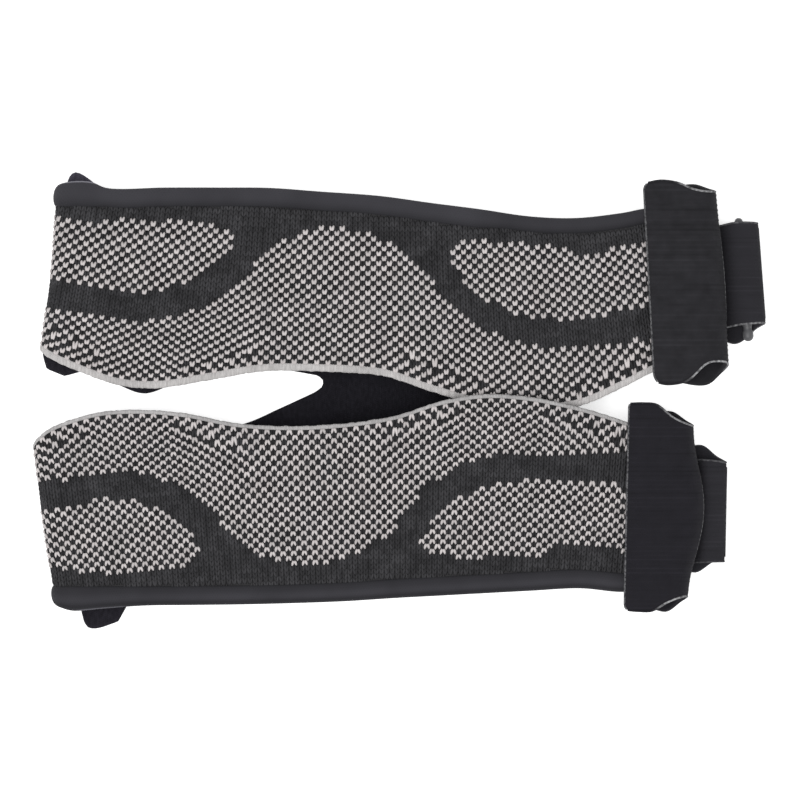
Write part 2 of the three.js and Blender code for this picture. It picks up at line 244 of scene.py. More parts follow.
class Ribbon:
    """A mid wall between two smooth edges through its sections."""

    TABLE_STEPS = 1200
    BISECTIONS = 30
    REACH = 1e-3

    def __init__(self, sections: Sequence[Section]) -> None:
        """Lays the edges through the sections' ends.

        Args:
            sections: The sections in order along the ribbon.
        """
        self.first = np.array([section.first for section in sections])
        self.second = np.array([section.second for section in sections])
        self.stand = np.array([(s.bulge, index, s.crown) for index, s in enumerate(sections)], float)
        self.side = 1.0
        self.side = float(np.sign(self.normal(np.zeros(1), np.full(1, 0.5))[0, 2]))
        self.steps = np.linspace(0.0, 1.0, self.TABLE_STEPS)
        self.unrolled = [self._unroll(spline(edge, self.steps)) for edge in (self.first, self.second)]
        self.hand = float(np.sign(self.second[0, 1] - self.first[0, 1]))

    @staticmethod
    def _unroll(edge: Array) -> Array:
        """Lays an edge flat: X runs on along the wall, Y stays."""
        way = np.sign(edge[1, 0] - edge[0, 0])
        return np.column_stack([edge[0, 0] + way * travel(edge[:, [0, 2]]), edge[:, 1]])

    def point(self, u: Array, f: Array) -> Array:
        """Finds places on the ribbon.

        Args:
            u: How far along it they are, from 0 to 1.
            f: How far across it, from 0 to 1.

        Returns:
            The places.
        """
        stand = spline(self.stand, u)
        place = (1 - f)[..., None] * spline(self.first, u) + f[..., None] * spline(self.second, u)
        place[..., 2] += stand[..., 2] * 4 * f * (1 - f)
        place[..., 0] += stand[..., 0] * np.sin(math.pi * f) ** 2
        return place

    def normal(self, u: Array, f: Array) -> Array:
        """Finds the way out of the ribbon's upper face.

        Args:
            u: Places along it.
            f: Places across it.

        Returns:
            A unit vector for each place.
        """
        before, after = np.maximum(0.0, u - self.REACH), np.minimum(1.0, u + self.REACH)
        along = self.point(after, f) - self.point(before, f)
        across = self.point(u, f + self.REACH) - self.point(u, f - self.REACH)
        out = np.cross(along, across) * self.side
        return out / np.linalg.norm(out, axis=-1, keepdims=True)

    def width(self, u: Array) -> Array:
        """The distance between the edges."""
        return np.linalg.norm(spline(self.first, u) - spline(self.second, u), axis=-1)

    def run(self, f: float) -> Array:
        """The distance along the ribbon at each step of its table."""
        return travel(self.point(self.steps, np.full_like(self.steps, f)))

    def flat_size(self) -> Span:
        """The mean width and the length along the middle, in metres."""
        return float(self.width(self.steps).mean()) * MM, float(self.run(0.5)[-1]) * MM

    def even(self, spacing: float, f: float = 0.5) -> Array:
        """Spaces places out along the ribbon.

        Args:
            spacing: About how far apart they are.
            f: Where across the ribbon the distance counts.

        Returns:
            The places, from 0 to 1.
        """
        run = self.run(f)
        count = max(2, round(run[-1] / spacing))
        return np.interp(np.linspace(0.0, run[-1], count + 1), run, self.steps)

    def distance(self, u: Array, f: float = 0.5) -> Array:
        """How far along the ribbon the places u are."""
        return np.interp(u, self.steps, self.run(f))

    def locate(self, x: Array, y: Array) -> tuple[Array, Array]:
        """Finds where on the ribbon points of its unrolled shape lie.

        Args:
            x: X of each point in the flat.
            y: Y of each point.

        Returns:
            u along the ribbon and f across it.
        """
        low, high = np.zeros(x.shape), np.ones(x.shape)
        for _ in range(self.BISECTIONS):
            u = (low + high) / 2
            first, across = self._flat_section(u)
            turn = (x - first[..., 0]) * across[..., 1] - (y - first[..., 1]) * across[..., 0]
            ahead = turn * self.hand < 0
            low, high = np.where(ahead, u, low), np.where(ahead, high, u)
        first, across = self._flat_section(u)
        reach = (x - first[..., 0]) * across[..., 0] + (y - first[..., 1]) * across[..., 1]
        return u, reach / np.sum(across**2, axis=-1)

    def _flat_section(self, u: Array) -> tuple[Array, Array]:
        """Finds sections of the unrolled shape.

        Args:
            u: Places along the ribbon.

        Returns:
            Each section's first end, and the way to its second.
        """
        ends = []
        for edge in self.unrolled:
            ends.append(np.stack([np.interp(u, self.steps, edge[:, axis]) for axis in (0, 1)], axis=-1))
        return ends[0], ends[1] - ends[0]


def put_in_scene(name: str, data: bpy.types.ID) -> Object:
    """Puts a mesh, a light or a camera in the scene.

    Args:
        name: The object's name.
        data: The mesh, light or camera.

    Returns:
        The object, at the origin.
    """
    made = bpy.data.objects.new(name, data)
    bpy.context.scene.collection.objects.link(made)
    return made


def make_object(
    name: str,
    points: Array,
    faces: Sequence[Sequence[int]],
    edges: Sequence[Sequence[int]] = (),
    uv: Array | None = None,
    **attributes: Array,
) -> Object:
    """Makes a mesh object whose place is in its mesh.

    Args:
        name: The object's name.
        points: The vertices, in millimetres.
        faces: Vertex indices of each face.
        edges: Vertex indices of each loose edge.
        uv: A place in the flat cloth for each vertex, in millimetres.
        **attributes: Named values for each vertex, one number or three.

    Returns:
        The object, smooth shaded, its faces pointing outwards.
    """
    mesh = bpy.data.meshes.new(name)
    mesh.from_pydata((points * MM).tolist(), edges, faces)
    mesh.polygons.foreach_set("use_smooth", np.ones(len(mesh.polygons), bool))
    if signed_volume(mesh) < 0:
        mesh.flip_normals()
    if uv is not None:
        corners = np.empty(len(mesh.loops), np.int32)
        mesh.loops.foreach_get("vertex_index", corners)
        layer = mesh.uv_layers.new(name=CLOTH_UV)
        layer.data.foreach_set("uv", (uv[corners] * MM).astype(np.float32).ravel())
    for key, values in attributes.items():
        vector = values.ndim == 2
        attribute = mesh.attributes.new(key, "FLOAT_VECTOR" if vector else "FLOAT", "POINT")
        attribute.data.foreach_set("vector" if vector else "value", values.astype(np.float32).ravel())
    mesh.update()
    return put_in_scene(name, mesh)


def signed_volume(mesh: bpy.types.Mesh) -> float:
    """Measures the volume that a mesh closes.

    Args:
        mesh: The mesh.

    Returns:
        The volume, negative where its faces point inwards.
    """
    mesh.calc_loop_triangles()
    points = np.empty(len(mesh.vertices) * 3)
    mesh.vertices.foreach_get("co", points)
    corners = np.empty(len(mesh.loop_triangles) * 3, np.int32)
    mesh.loop_triangles.foreach_get("vertices", corners)
    a, b, c = points.reshape(-1, 3)[corners.reshape(-1, 3)].transpose(1, 0, 2)
    return float(np.sum(a * np.cross(b, c)) / 6)


def tube_faces(index: Array) -> list[list[int]]:
    """The faces between rings of points that follow each other."""
    after = np.roll(index, -1, axis=1)
    return np.stack([index[:-1], after[:-1], after[1:], index[1:]], axis=-1).reshape(-1, 4).tolist()


def sweep(
    name: str,
    ribbon: Ribbon,
    u: Array,
    across: Array,
    half: Array,
    level: float = 0.0,
    lead: Array | float = 0.0,
    **attributes: Array,
) -> Object:
    """Makes a closed wall along a ribbon.

    Args:
        name: The object's name.
        ribbon: The mid wall that it follows.
        u: The places of its rows.
        across: Distance from the ribbon's first edge, for each row and column.
        half: Half the wall at each row and column, which is 0 at the first and last column.
        level: How far the wall's middle stands off the ribbon.
        lead: How far along the ribbon each column starts, which rounds its corners.
        **attributes: Named values for each row and column.

    Returns:
        The wall.
    """
    rows, columns = across.shape
    grid_u = lead + (1 - lead) * np.repeat(u[:, None], columns, axis=1)
    f = across / ribbon.width(u)[:, None]
    middle = ribbon.point(grid_u, f)
    out = ribbon.normal(grid_u, f)
    upper = middle + out * (level + half)[..., None]
    lower = (middle + out * (level - half)[..., None])[:, 1:-1]
    top = np.arange(rows * columns).reshape(rows, columns)
    bottom = top.copy()
    bottom[:, 1:-1] = rows * columns + np.arange(rows * (columns - 2)).reshape(rows, columns - 2)
    faces = []
    for sheet, way in ((top, 1), (bottom, -1)):
        corners = [sheet[:-1, :-1], sheet[:-1, 1:], sheet[1:, 1:], sheet[1:, :-1]]
        faces += np.stack(corners, axis=-1).reshape(-1, 4)[:, ::way].tolist()
    for row, way in ((0, -1), (rows - 1, 1)):
        for column in range(columns - 1):
            ring = [top[row, column], top[row, column + 1], bottom[row, column + 1], bottom[row, column]]
            faces.append(list(dict.fromkeys(int(corner) for corner in ring))[::way])
    flat = np.stack([np.repeat(ribbon.distance(u)[:, None], columns, axis=1), across], axis=-1)
    join = {key: np.concatenate([v.ravel(), v[:, 1:-1].ravel()]) for key, v in attributes.items()}
    uv = np.concatenate([flat.reshape(-1, 2), flat[:, 1:-1].reshape(-1, 2)])
    points = np.concatenate([upper.reshape(-1, 3), lower.reshape(-1, 3)])
    return make_object(name, points, faces, uv=uv, **join)


def wall_columns(start: Array, end: Array, half: float, count: int) -> tuple[Array, Array]:
    """Spaces the columns of a flat wall with round edges.

    Args:
        start: Where each row starts, from the ribbon's first edge.
        end: Where each row ends.
        half: Half the wall's thickness.
        count: How many columns lie between the round edges.

    Returns:
        Distance across and half thickness at each row and column.
    """
    turn = np.linspace(0.0, math.pi / 2, EDGE_STEPS)
    edge = half * (1 - np.cos(turn))
    flat = np.linspace(0.0, 1.0, count + 1)[1:-1]
    middle = (start + half)[:, None] + flat[None, :] * (end - start - 2 * half)[:, None]
    across = np.concatenate([start[:, None] + edge, middle, end[:, None] - edge[::-1]], axis=1)
    height = np.concatenate([half * np.sin(turn), np.full(len(flat), half), half * np.sin(turn[::-1])])
    return across, np.repeat(height[None, :], len(start), axis=0)


def roll_columns(
    start: Array, width: Array, half: float, count: int, fullness: float
) -> tuple[Array, Array]:
    """Spaces the columns of a rolled edge.

    Args:
        start: Where each row starts, from the ribbon's first edge.
        width: How far across the roll reaches in each row.
        half: Half its thickness.
        count: How many steps it has across.
        fullness: 1 for an ellipse, less for a squarer section.

    Returns:
        Distance across and half thickness at each row and column.
    """
    turn = np.linspace(0.0, math.pi, count + 1)
    across = start[:, None] + width[:, None] * (1 - np.cos(turn))[None, :] / 2
    height = half * np.sin(turn).clip(0.0, 1.0) ** fullness
    height[[0, -1]] = 0.0
    return across, np.repeat(height[None, :], len(start), axis=0)


class Tree:
    """A node tree that is being wired."""

    def __init__(self, tree: bpy.types.NodeTree) -> None:
        """Takes up a tree."""
        self.tree = tree

    def fill(self, node: Node, inputs: dict[str | int, object]) -> None:
        """Gives a node its inputs.

        Args:
            node: The node.
            inputs: For each input, a socket to link or a value to set.
        """
        for key, value in inputs.items():
            if isinstance(value, Socket):
                self.tree.links.new(value, node.inputs[key])
            else:
                node.inputs[key].default_value = value

    def add(self, kind: str, inputs: dict[str | int, object] | None = None, **settings: object) -> Node:
        """Adds a node.

        Args:
            kind: The node's type name.
            inputs: For each input, a socket to link or a value to set.
            **settings: The node's own settings.

        Returns:
            The node.
        """
        made = self.tree.nodes.new(kind)
        for key, value in settings.items():
            setattr(made, key, value)
        self.fill(made, inputs or {})
        return made

    def math(self, operation: str, *values: object) -> Socket:
        """One step of arithmetic."""
        return self.add("ShaderNodeMath", dict(enumerate(values)), operation=operation).outputs[0]

    def scaled(self, value: Socket, *limits: object) -> Socket:
        """A value between the first two limits, brought between the last two."""
        return self.add("ShaderNodeMapRange", dict(enumerate((value, *limits)))).outputs["Result"]

    def noise(self, place: Socket, scale: object, detail: float = 2.0) -> Socket:
        """Soft noise."""
        values = {"Vector": place, "Scale": scale, "Detail": detail}
        return self.add("ShaderNodeTexNoise", values).outputs["Fac"]

    def mesh_value(self, name: str) -> Socket:
        """A value that the mesh gives each place, for a shader."""
        return self.add("ShaderNodeAttribute", attribute_name=name).outputs["Fac"]

    def site_value(self, name: str, kind: str = "FLOAT") -> Socket:
        """A value that the mesh gives each point, for geometry."""
        found = self.add("GeometryNodeInputNamedAttribute", {"Name": name}, data_type=kind)
        return found.outputs["Attribute"]

    def mix(self, share: object, first: object, second: object, way: str = "MIX") -> Socket:
        """Two colours in one."""
        values = {0: share, 6: first, 7: second}
        return self.add("ShaderNodeMix", values, data_type="RGBA", blend_type=way).outputs[2]


class Group(Tree):
    """A node group with named sockets."""

    def __init__(self, name: str, kind: str, inputs: dict[str, str], outputs: dict[str, str]) -> None:
        """Starts the group.

        Args:
            name: Its name.
            kind: Geometry or Shader.
            inputs: Socket type of each input.
            outputs: Socket type of each output.
        """
        super().__init__(bpy.data.node_groups.new(name, f"{kind}NodeTree"))
        for way, sockets in (("INPUT", inputs), ("OUTPUT", outputs)):
            for key, socket in sockets.items():
                self.tree.interface.new_socket(key, in_out=way, socket_type=f"NodeSocket{socket}")
        self.given = self.add("NodeGroupInput").outputs
        self.result = self.add("NodeGroupOutput")

    def put(self, **sockets: Socket) -> None:
        """Links the outputs."""
        self.fill(self.result, sockets)

    def close(self, geometry: Socket, finish: Socket) -> None:
        """Ends a geometry tree in a plain mesh with a material.

        Args:
            geometry: What the tree has made.
            finish: The material.
        """
        real = self.add("GeometryNodeRealizeInstances", {"Geometry": geometry}).outputs["Geometry"]
        dressed = self.add("GeometryNodeSetMaterial", {"Geometry": real, "Material": finish})
        self.put(Geometry=dressed.outputs["Geometry"])

    def evaluate(self, carrier: Object, values: dict[str, object], name: str) -> Object:
        """Runs a geometry tree and keeps its result as a plain mesh.

        Args:
            carrier: The object whose mesh goes in, which is removed.
            values: The value of each named input.
            name: The finished object's name.

        Returns:
            The finished object.
        """
        modifier = carrier.modifiers.new(self.tree.name, "NODES")
        modifier.node_group = self.tree
        for item in self.tree.interface.items_tree:
            if item.in_out == "INPUT" and item.name in values:
                modifier[item.identifier] = values[item.name]
        finished = carrier.evaluated_get(bpy.context.evaluated_depsgraph_get())
        mesh = bpy.data.meshes.new_from_object(finished)
        carrier.modifiers.remove(modifier)
        bpy.data.objects.remove(carrier)
        mesh.name = name
        return put_in_scene(name, mesh)


class StitchNodes(Group):
    """A tree that sets one stitch on every site, turned as the site says."""

    def __init__(self) -> None:
        """Builds the tree."""
        inputs = {"Sites": "Geometry", "Stitch": "Object", "Yarn": "Material"}
        inputs |= {"Size Spread": "Float", "Tone Spread": "Float", "Seed": "Int"}
        super().__init__("Knit Stitches", "Geometry", inputs, {"Geometry": "Geometry"})
        turn = self.add("FunctionNodeEulerToRotation", {"Euler": self.site_value(TURN, "FLOAT_VECTOR")})
        size = self._varied("Size Spread", 0)
        tall = self.math("MULTIPLY", size, self.site_value(STRETCH))
        scale = self.add("ShaderNodeCombineXYZ", {"X": size, "Y": tall, "Z": size})
        tone = self.math("MULTIPLY", self._varied("Tone Spread", 1), self.site_value(SHADE))
        stitch = self.add("GeometryNodeObjectInfo", {"Object": self.given["Stitch"]})
        placed = self.add(
            "GeometryNodeInstanceOnPoints",
            {
                "Points": self.given["Sites"],
                "Instance": stitch.outputs["Geometry"],
                "Rotation": turn.outputs["Rotation"],
                "Scale": scale.outputs["Vector"],
            },
        )
        toned = self.add(
            "GeometryNodeStoreNamedAttribute",
            {"Geometry": placed.outputs["Instances"], "Name": TONE, "Value": tone},
            data_type="FLOAT",
            domain="INSTANCE",
        )
        self.close(toned.outputs["Geometry"], self.given["Yarn"])

    def _varied(self, spread: str, step: int) -> Socket:
        """Draws a random factor about 1.

        Args:
            spread: The input that gives how far it strays from 1.
            step: What is added to the seed.

        Returns:
            The factor.
        """
        low, high = (self.math(way, 1.0, self.given[spread]) for way in ("SUBTRACT", "ADD"))
        values = {2: low, 3: high, "Seed": self.math("ADD", self.given["Seed"], float(step))}
        return self.add("FunctionNodeRandomValue", values, data_type="FLOAT").outputs[1]


class CordNodes(Group):
    """A tree that lays a round cord along every line."""

    SIDES = 8

    def __init__(self) -> None:
        """Builds the tree."""
        inputs = {"Lines": "Geometry", "Radius": "Float", "Sides": "Int", "Finish": "Material"}
        super().__init__("Laid Cords", "Geometry", inputs, {"Geometry": "Geometry"})
        line = self.add("GeometryNodeMeshToCurve", {"Mesh": self.given["Lines"]}).outputs["Curve"]
        size = {"Resolution": self.given["Sides"], "Radius": self.given["Radius"]}
        ring = self.add("GeometryNodeCurvePrimitiveCircle", size).outputs["Curve"]
        swept = {"Curve": line, "Profile Curve": ring, "Fill Caps": True}
        cord = self.add("GeometryNodeCurveToMesh", swept).outputs["Mesh"]
        smooth = self.add("GeometryNodeSetShadeSmooth", {"Geometry": cord})
        self.close(smooth.outputs["Geometry"], self.given["Finish"])

    def lay(
        self,
        name: str,
        lines: list[Array],
        pale: list[Array],
        tone: list[Array],
        radius: float,
        finish: Material,
    ) -> Object:
        """Lays cords along lines.

        Args:
            name: The finished object's name.
            lines: The points of each line.
            pale: How pale the cord is at each point of each line.
            tone: How light its own colour is there.
            radius: The cord's radius.
            finish: Its material.

        Returns:
            The cords.
        """
        starts = np.cumsum([0] + [len(line) for line in lines[:-1]])
        edges = [(s + k, s + k + 1) for s, line in zip(starts, lines) for k in range(len(line) - 1)]
        marks = {PALE: np.concatenate(pale), TONE: np.concatenate(tone)}
        carrier = make_object(f"{name}_lines", np.concatenate(lines), [], edges, **marks)
        values = {"Radius": radius * MM, "Sides": self.SIDES, "Finish": finish}
        return self.evaluate(carrier, values, name)


class ShaderGroups:
    """The effects that the finishes share."""

    FIBRE_FINENESS = 9.0
    GAP_HEIGHT = 0.35
    STREAK_DRAWN = 0.2
    STREAK_SCALE = 1.6
    SPECK_SPAN = (0.36, 0.62)
    SPECK_LEAST = 0.2

    def __init__(self) -> None:
        """Builds each group once."""
        self.dye = self._dye()
        self.threads = self._threads()
        self.edge_core_and_highlight = self._edge_core_and_highlight()

    def _dye(self) -> bpy.types.NodeTree:
        """Builds uneven dye.

        Returns:
            A group that gives a tone about 1, and a fine height for loose fibres.
        """
        inputs = {"Vector": "Vector", "Scale": "Float", "Amount": "Float"}
        group = Group("Uneven Dye", "Shader", inputs, {"Tone": "Float", "Fibre": "Float"})
        place, scale, amount = (group.given[key] for key in inputs)
        low, high = (group.math(way, 1.0, amount) for way in ("SUBTRACT", "ADD"))
        fine = group.math("MULTIPLY", scale, self.FIBRE_FINENESS)
        tone = group.scaled(group.noise(place, scale), *NOISE_SPAN, low, high)
        group.put(Tone=tone, Fibre=group.noise(place, fine, 1.0))
        return group.tree

    def _threads(self) -> bpy.types.NodeTree:
        """Builds fine threads along and across a cloth, by its flat places.

        Returns:
            A group that gives their height, the gaps between them and streaks along them.
        """
        inputs = {"Vector": "Vector", "Along": "Float", "Across": "Float"}
        outputs = dict.fromkeys(("Height", "Gap", "Streak"), "Float")
        group = Group("Fine Threads", "Shader", inputs, outputs)
        place, *pitches = (group.given[key] for key in inputs)
        parts = group.add("ShaderNodeSeparateXYZ", {"Vector": place}).outputs
        counts = [group.math("DIVIDE", parts[axis], pitch) for axis, pitch in zip("XY", pitches)]
        waves = [group.math("SINE", group.math("MULTIPLY", count, math.tau)) for count in counts]
        height = group.math("MULTIPLY_ADD", group.math("MULTIPLY", *waves), 0.5, 0.5)
        drawn = group.math("MULTIPLY", counts[1], self.STREAK_DRAWN)
        thread = group.add("ShaderNodeCombineXYZ", {"X": counts[0], "Y": drawn}).outputs["Vector"]
        gap = group.scaled(height, 0.0, self.GAP_HEIGHT, 1.0, 0.0)
        group.put(Height=height, Gap=gap, Streak=group.noise(thread, self.STREAK_SCALE, 1.0))
        return group.tree

    def _edge_core_and_highlight(self) -> bpy.types.NodeTree:
        """Builds cut edges and painted highlights.

        Returns:
            A group that gives where a pale mark shows in broken specks: the pale core of cut edges, and
            painted highlights along folds.
        """
        inputs = {"Vector": "Vector", "Mask": "Float", "Scale": "Float"}
        group = Group("Cut Edge", "Shader", inputs, {"Pale": "Float"})
        place, mask, scale = (group.given[key] for key in inputs)
        shown = group.scaled(group.noise(place, scale), *self.SPECK_SPAN, self.SPECK_LEAST, 1.0)
        group.put(Pale=group.math("MULTIPLY", shown, mask))
        return group.tree


def open_material(name: str) -> tuple[Material, Tree, Node, Socket]:
    """Starts a material.

    Args:
        name: Its name.

    Returns:
        The material, its tree, its shader and its Object coordinates.
    """
    material = bpy.data.materials.new(name)
    material.use_nodes = True
    tree = Tree(material.node_tree)
    place = tree.add("ShaderNodeTexCoord").outputs["Object"]
    return material, tree, material.node_tree.nodes["Principled BSDF"], place


@dataclass(frozen=True)
class Finish:
    """What every finish has: a colour with uneven dye, fine relief, roughness and gloss."""

    name: str
    colour: Colour
    dye_scale: float = 160.0
    dye_amount: float = 0.08
    depth: float = 0.05
    roughness: float = 0.88
    gloss: float = 0.15
    toned: bool = True

    def make(self, groups: ShaderGroups) -> Material:
        """Builds the material.

        Args:
            groups: The shared effects.

        Returns:
            The material.
        """
        material, tree, shader, place = open_material(self.name)
        values = {"Vector": place, "Scale": self.dye_scale, "Amount": self.dye_amount}
        dye = tree.add("ShaderNodeGroup", values, node_tree=groups.dye).outputs
        tone, height = self._surface(tree, groups, dye["Tone"], dye["Fibre"])
        if self.toned:
            # The mesh's tone varies at random, and also carries the painted shade and painted highlights
            # that some pieces give.
            tone = tree.math("MULTIPLY", tone, tree.mesh_value(TONE))
        colour = self._edges(tree, groups, place, tree.mix(1.0, (*self.colour, 1.0), tone, "MULTIPLY"))
        bump = tree.add("ShaderNodeBump", {"Distance": self.depth * MM, "Height": height})
        inputs = {"Base Color": colour, "Normal": bump.outputs["Normal"]}
        inputs |= {"Specular IOR Level": self.gloss, "Roughness": self._roughness(tree, dye["Tone"])}
        tree.fill(shader, inputs)
        return material

    def _surface(
        self, tree: Tree, groups: ShaderGroups, tone: Socket, fibre: Socket
    ) -> tuple[Socket, Socket]:
        """The tone and the height of the surface."""
        return tone, fibre

    def _edges(self, tree: Tree, groups: ShaderGroups, place: Socket, colour: Socket) -> Socket:
        """The colour with its edges."""
        return colour

    def _roughness(self, tree: Tree, tone: Socket) -> Socket | float:
        """How rough the surface is."""
        return self.roughness


@dataclass(frozen=True)
class PlasticFinish(Finish):
    """A moulded plastic, slightly uneven in tone and gloss."""

    dye_scale: float = 400.0
    depth: float = 0.02
    roughness: float = 0.45
    gloss: float = 0.4
    toned: bool = False

    def _roughness(self, tree: Tree, tone: Socket) -> Socket | float:
        """How rough the surface is, which varies with its tone."""
        return tree.math("MULTIPLY", tone, self.roughness)


@dataclass(frozen=True)
class ClothFinish(Finish):
    """A cloth's finish, with threads, cut edges and painted highlights."""

    dye_scale: float = 90.0
    dye_amount: float = 0.1
    depth: float = 0.06
    roughness: float = 0.9
    toned: bool = False
    along: float = 0.7
    across: float = 0.7
    fibre: float = 0.4
    gap_shade: float = 0.25
    streak: float = 0.0
    pale_colour: Colour | None = None
    speck_scale: float = 1300.0

    def _surface(
        self, tree: Tree, groups: ShaderGroups, tone: Socket, fibre: Socket
    ) -> tuple[Socket, Socket]:
        """Adds threads to the dye.

        Args:
            tree: The material's tree.
            groups: The shared effects.
            tone: The dye's tone.
            fibre: The height of loose fibres.

        Returns:
            The cloth's tone and height.
        """
        flat = tree.add("ShaderNodeUVMap", uv_map=CLOTH_UV).outputs["UV"]
        values = {"Vector": flat, "Along": self.along * MM, "Across": self.across * MM}
        threads = tree.add("ShaderNodeGroup", values, node_tree=groups.threads).outputs
        streak = tree.scaled(threads["Streak"], *NOISE_SPAN, 1.0 - self.streak, 1.0 + self.streak)
        shade = tree.scaled(threads["Gap"], 0.0, 1.0, 1.0, 1.0 - self.gap_shade)
        height = tree.math("MULTIPLY_ADD", fibre, self.fibre, threads["Height"])
        return tree.math("MULTIPLY", tree.math("MULTIPLY", tone, streak), shade), height

    def _edges(self, tree: Tree, groups: ShaderGroups, place: Socket, colour: Socket) -> Socket:
        """Lets the pale core of cut edges, and painted highlights, show where the mesh says.

        Args:
            tree: The material's tree.
            groups: The shared effects.
            place: Object coordinates.
            colour: The cloth's own colour.

        Returns:
            The colour with its pale edges and painted highlights.
        """
        if self.pale_colour is None:
            return colour
        values = {"Vector": place, "Mask": tree.mesh_value(PALE), "Scale": self.speck_scale}
        worn = tree.add("ShaderNodeGroup", values, node_tree=groups.edge_core_and_highlight)
        return tree.mix(worn.outputs["Pale"], colour, (*self.pale_colour, 1.0))


DARK_YARN = Finish("dark grey yarn", (0.0338, 0.0333, 0.0358), dye_amount=0.2)
LIGHT_YARN = Finish("light grey yarn", (0.506, 0.474, 0.47), dye_amount=0.06)
KNIT_GROUND = ClothFinish(
    "dark knit ground", (0.0275, 0.0268, 0.0285), depth=0.1, along=1.35, across=1.22
)
HEM_CLOTH = ClothFinish(
    "smooth grey hem", (0.038, 0.0372, 0.043), toned=True, depth=0.03,
    along=0.68, across=1.1, gap_shade=0.12,
)
UPPER_WELT = ClothFinish(
    "light knitted welt", (0.43, 0.416, 0.412), depth=0.08,
    along=0.68, gap_shade=0.06, streak=0.16,
)
# The lower welt is the same welt with painted shade: a darker copy, as it turns away from the light.
LOWER_WELT = replace(UPPER_WELT, name="greyer knitted welt", colour=(0.36, 0.351, 0.35))
BACK_CLOTH = ClothFinish(
    "black stretch cloth", (0.0105, 0.0099, 0.013), toned=True, gloss=0.08,
    along=1.1, across=0.5, streak=0.22,
)
WEBBING = ClothFinish(
    "black woven webbing", (0.0215, 0.0208, 0.0248), toned=True,
    along=0.5, across=0.5, pale_colour=(0.3, 0.3, 0.31),
)
UPPER_ELASTIC = replace(
    WEBBING, name="black ribbed elastic", colour=(0.0188, 0.0184, 0.0212),
    dye_scale=330.0, dye_amount=0.16, along=0.45, across=0.6, pale_colour=(0.36, 0.36, 0.37),
)
LOWER_ELASTIC = replace(
    UPPER_ELASTIC, name="deep black ribbed elastic", colour=(0.0134, 0.0127, 0.0163), dye_amount=0.08
)
GREY_PLASTIC = PlasticFinish("satin grey plastic", (0.08, 0.08, 0.085))


class Finishes:
    """The materials, by what they are on."""

    def __init__(self) -> None:
        """Builds every material on one set of shared effects."""
        groups = ShaderGroups()
        self.dark_yarn = DARK_YARN.make(groups)
        self.light_yarn = LIGHT_YARN.make(groups)
        self.ground = KNIT_GROUND.make(groups)
        self.hem = HEM_CLOTH.make(groups)
        self.welt = {Side.UPPER: UPPER_WELT.make(groups), Side.LOWER: LOWER_WELT.make(groups)}
        self.back = BACK_CLOTH.make(groups)
        self.elastic = {Side.UPPER: UPPER_ELASTIC.make(groups), Side.LOWER: LOWER_ELASTIC.make(groups)}
        self.webbing = WEBBING.make(groups)
        self.bar = GREY_PLASTIC.make(groups)


def settle(piece: Object, cad_node: str, finish: Material | None = None) -> None:
    """Sets a finished piece in the frame and reports it.

    Args:
        piece: The piece.
        cad_node: The CAD node that it stands for.
        finish: Its material, where its mesh has none yet.
    """
    if finish is not None:
        piece.data.materials.append(finish)
    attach(piece, BODY)
    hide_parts(cad_node)
    triangles = sum(len(face.vertices) - 2 for face in piece.data.polygons)
    LOG.info("%s stands for %s: %d triangles", piece.name, cad_node, triangles)


@dataclass(frozen=True)
class Loop:
    """One knitted stitch: two plump legs that part from a full middle, one of them longer by its lean."""

    width: float
    height: float
    thickness: float
    lean: float = 0.0
    apex: float = 0.3
    taper: float = 0.0
    plumpness: float = 0.36
    sections: int = 4
    sides: int = 4
    curve: float = 0.85
    sink: float = 0.0
    arch: Span = (0.24, 0.12)
    round_size: Span = (0.45, 0.55)
    round_turn: Span = (0.18, 0.6)

    def build(self, name: str) -> Object:
        """Makes the stitch, open towards +Y.

        Args:
            name: The object's name.

        Returns:
            The stitch.
        """
        t = np.linspace(0.0, 1.0, self.sections)
        ring = np.arange(self.sides)[:, None] * math.tau / self.sides + math.pi / 2
        spread = (self.width - self.thickness) / 2
        out = spread * (self.apex + (1 - self.apex) * t**self.curve)
        arch = self.plumpness * (self.arch[0] * np.sin(math.pi * t) - self.arch[1]) - self.sink * t**2
        turn = math.pi * (self.round_turn[0] + self.round_turn[1] * t)
        size = self.round_size[0] + self.round_size[1] * np.sin(turn)
        radius = self.thickness / 2 * size * (1 + self.taper * (0.5 - t))
        points, faces = [], []
        for hand in (-1, 1):
            line = np.column_stack([hand * out, (t * (1 + hand * self.lean) - 0.5) * self.height, arch])
            slope = math.atan2(self.height, hand * spread)
            beside = np.array([math.sin(slope), -math.cos(slope), 0.0])
            circle = np.cos(ring) * beside + np.sin(ring) * np.array([0.0, 0.0, self.plumpness])
            index = np.arange(self.sections * self.sides).reshape(self.sections, self.sides)
            index += sum(len(leg) for leg in points)
            points.append((line[:, None] + radius[:, None, None] * circle).reshape(-1, 3))
            faces += [*tube_faces(index), index[0, ::-1].tolist(), index[-1].tolist()]
        return make_object(name, np.concatenate(points), faces)


DARK_LOOP = Loop(1.92, 1.5, 0.8)
LIGHT_LOOP = Loop(
    1.7, 1.3, 0.73, lean=0.06, apex=0.14, taper=0.5, plumpness=0.9,
    sections=5, sides=5, curve=0.8, sink=0.12,
)
WIDE_LIGHT_LOOP = replace(
    LIGHT_LOOP, width=1.92, height=1.32, thickness=0.68, lean=0.04, apex=0.16,
    taper=0.7, curve=0.72, sink=0.2,
)


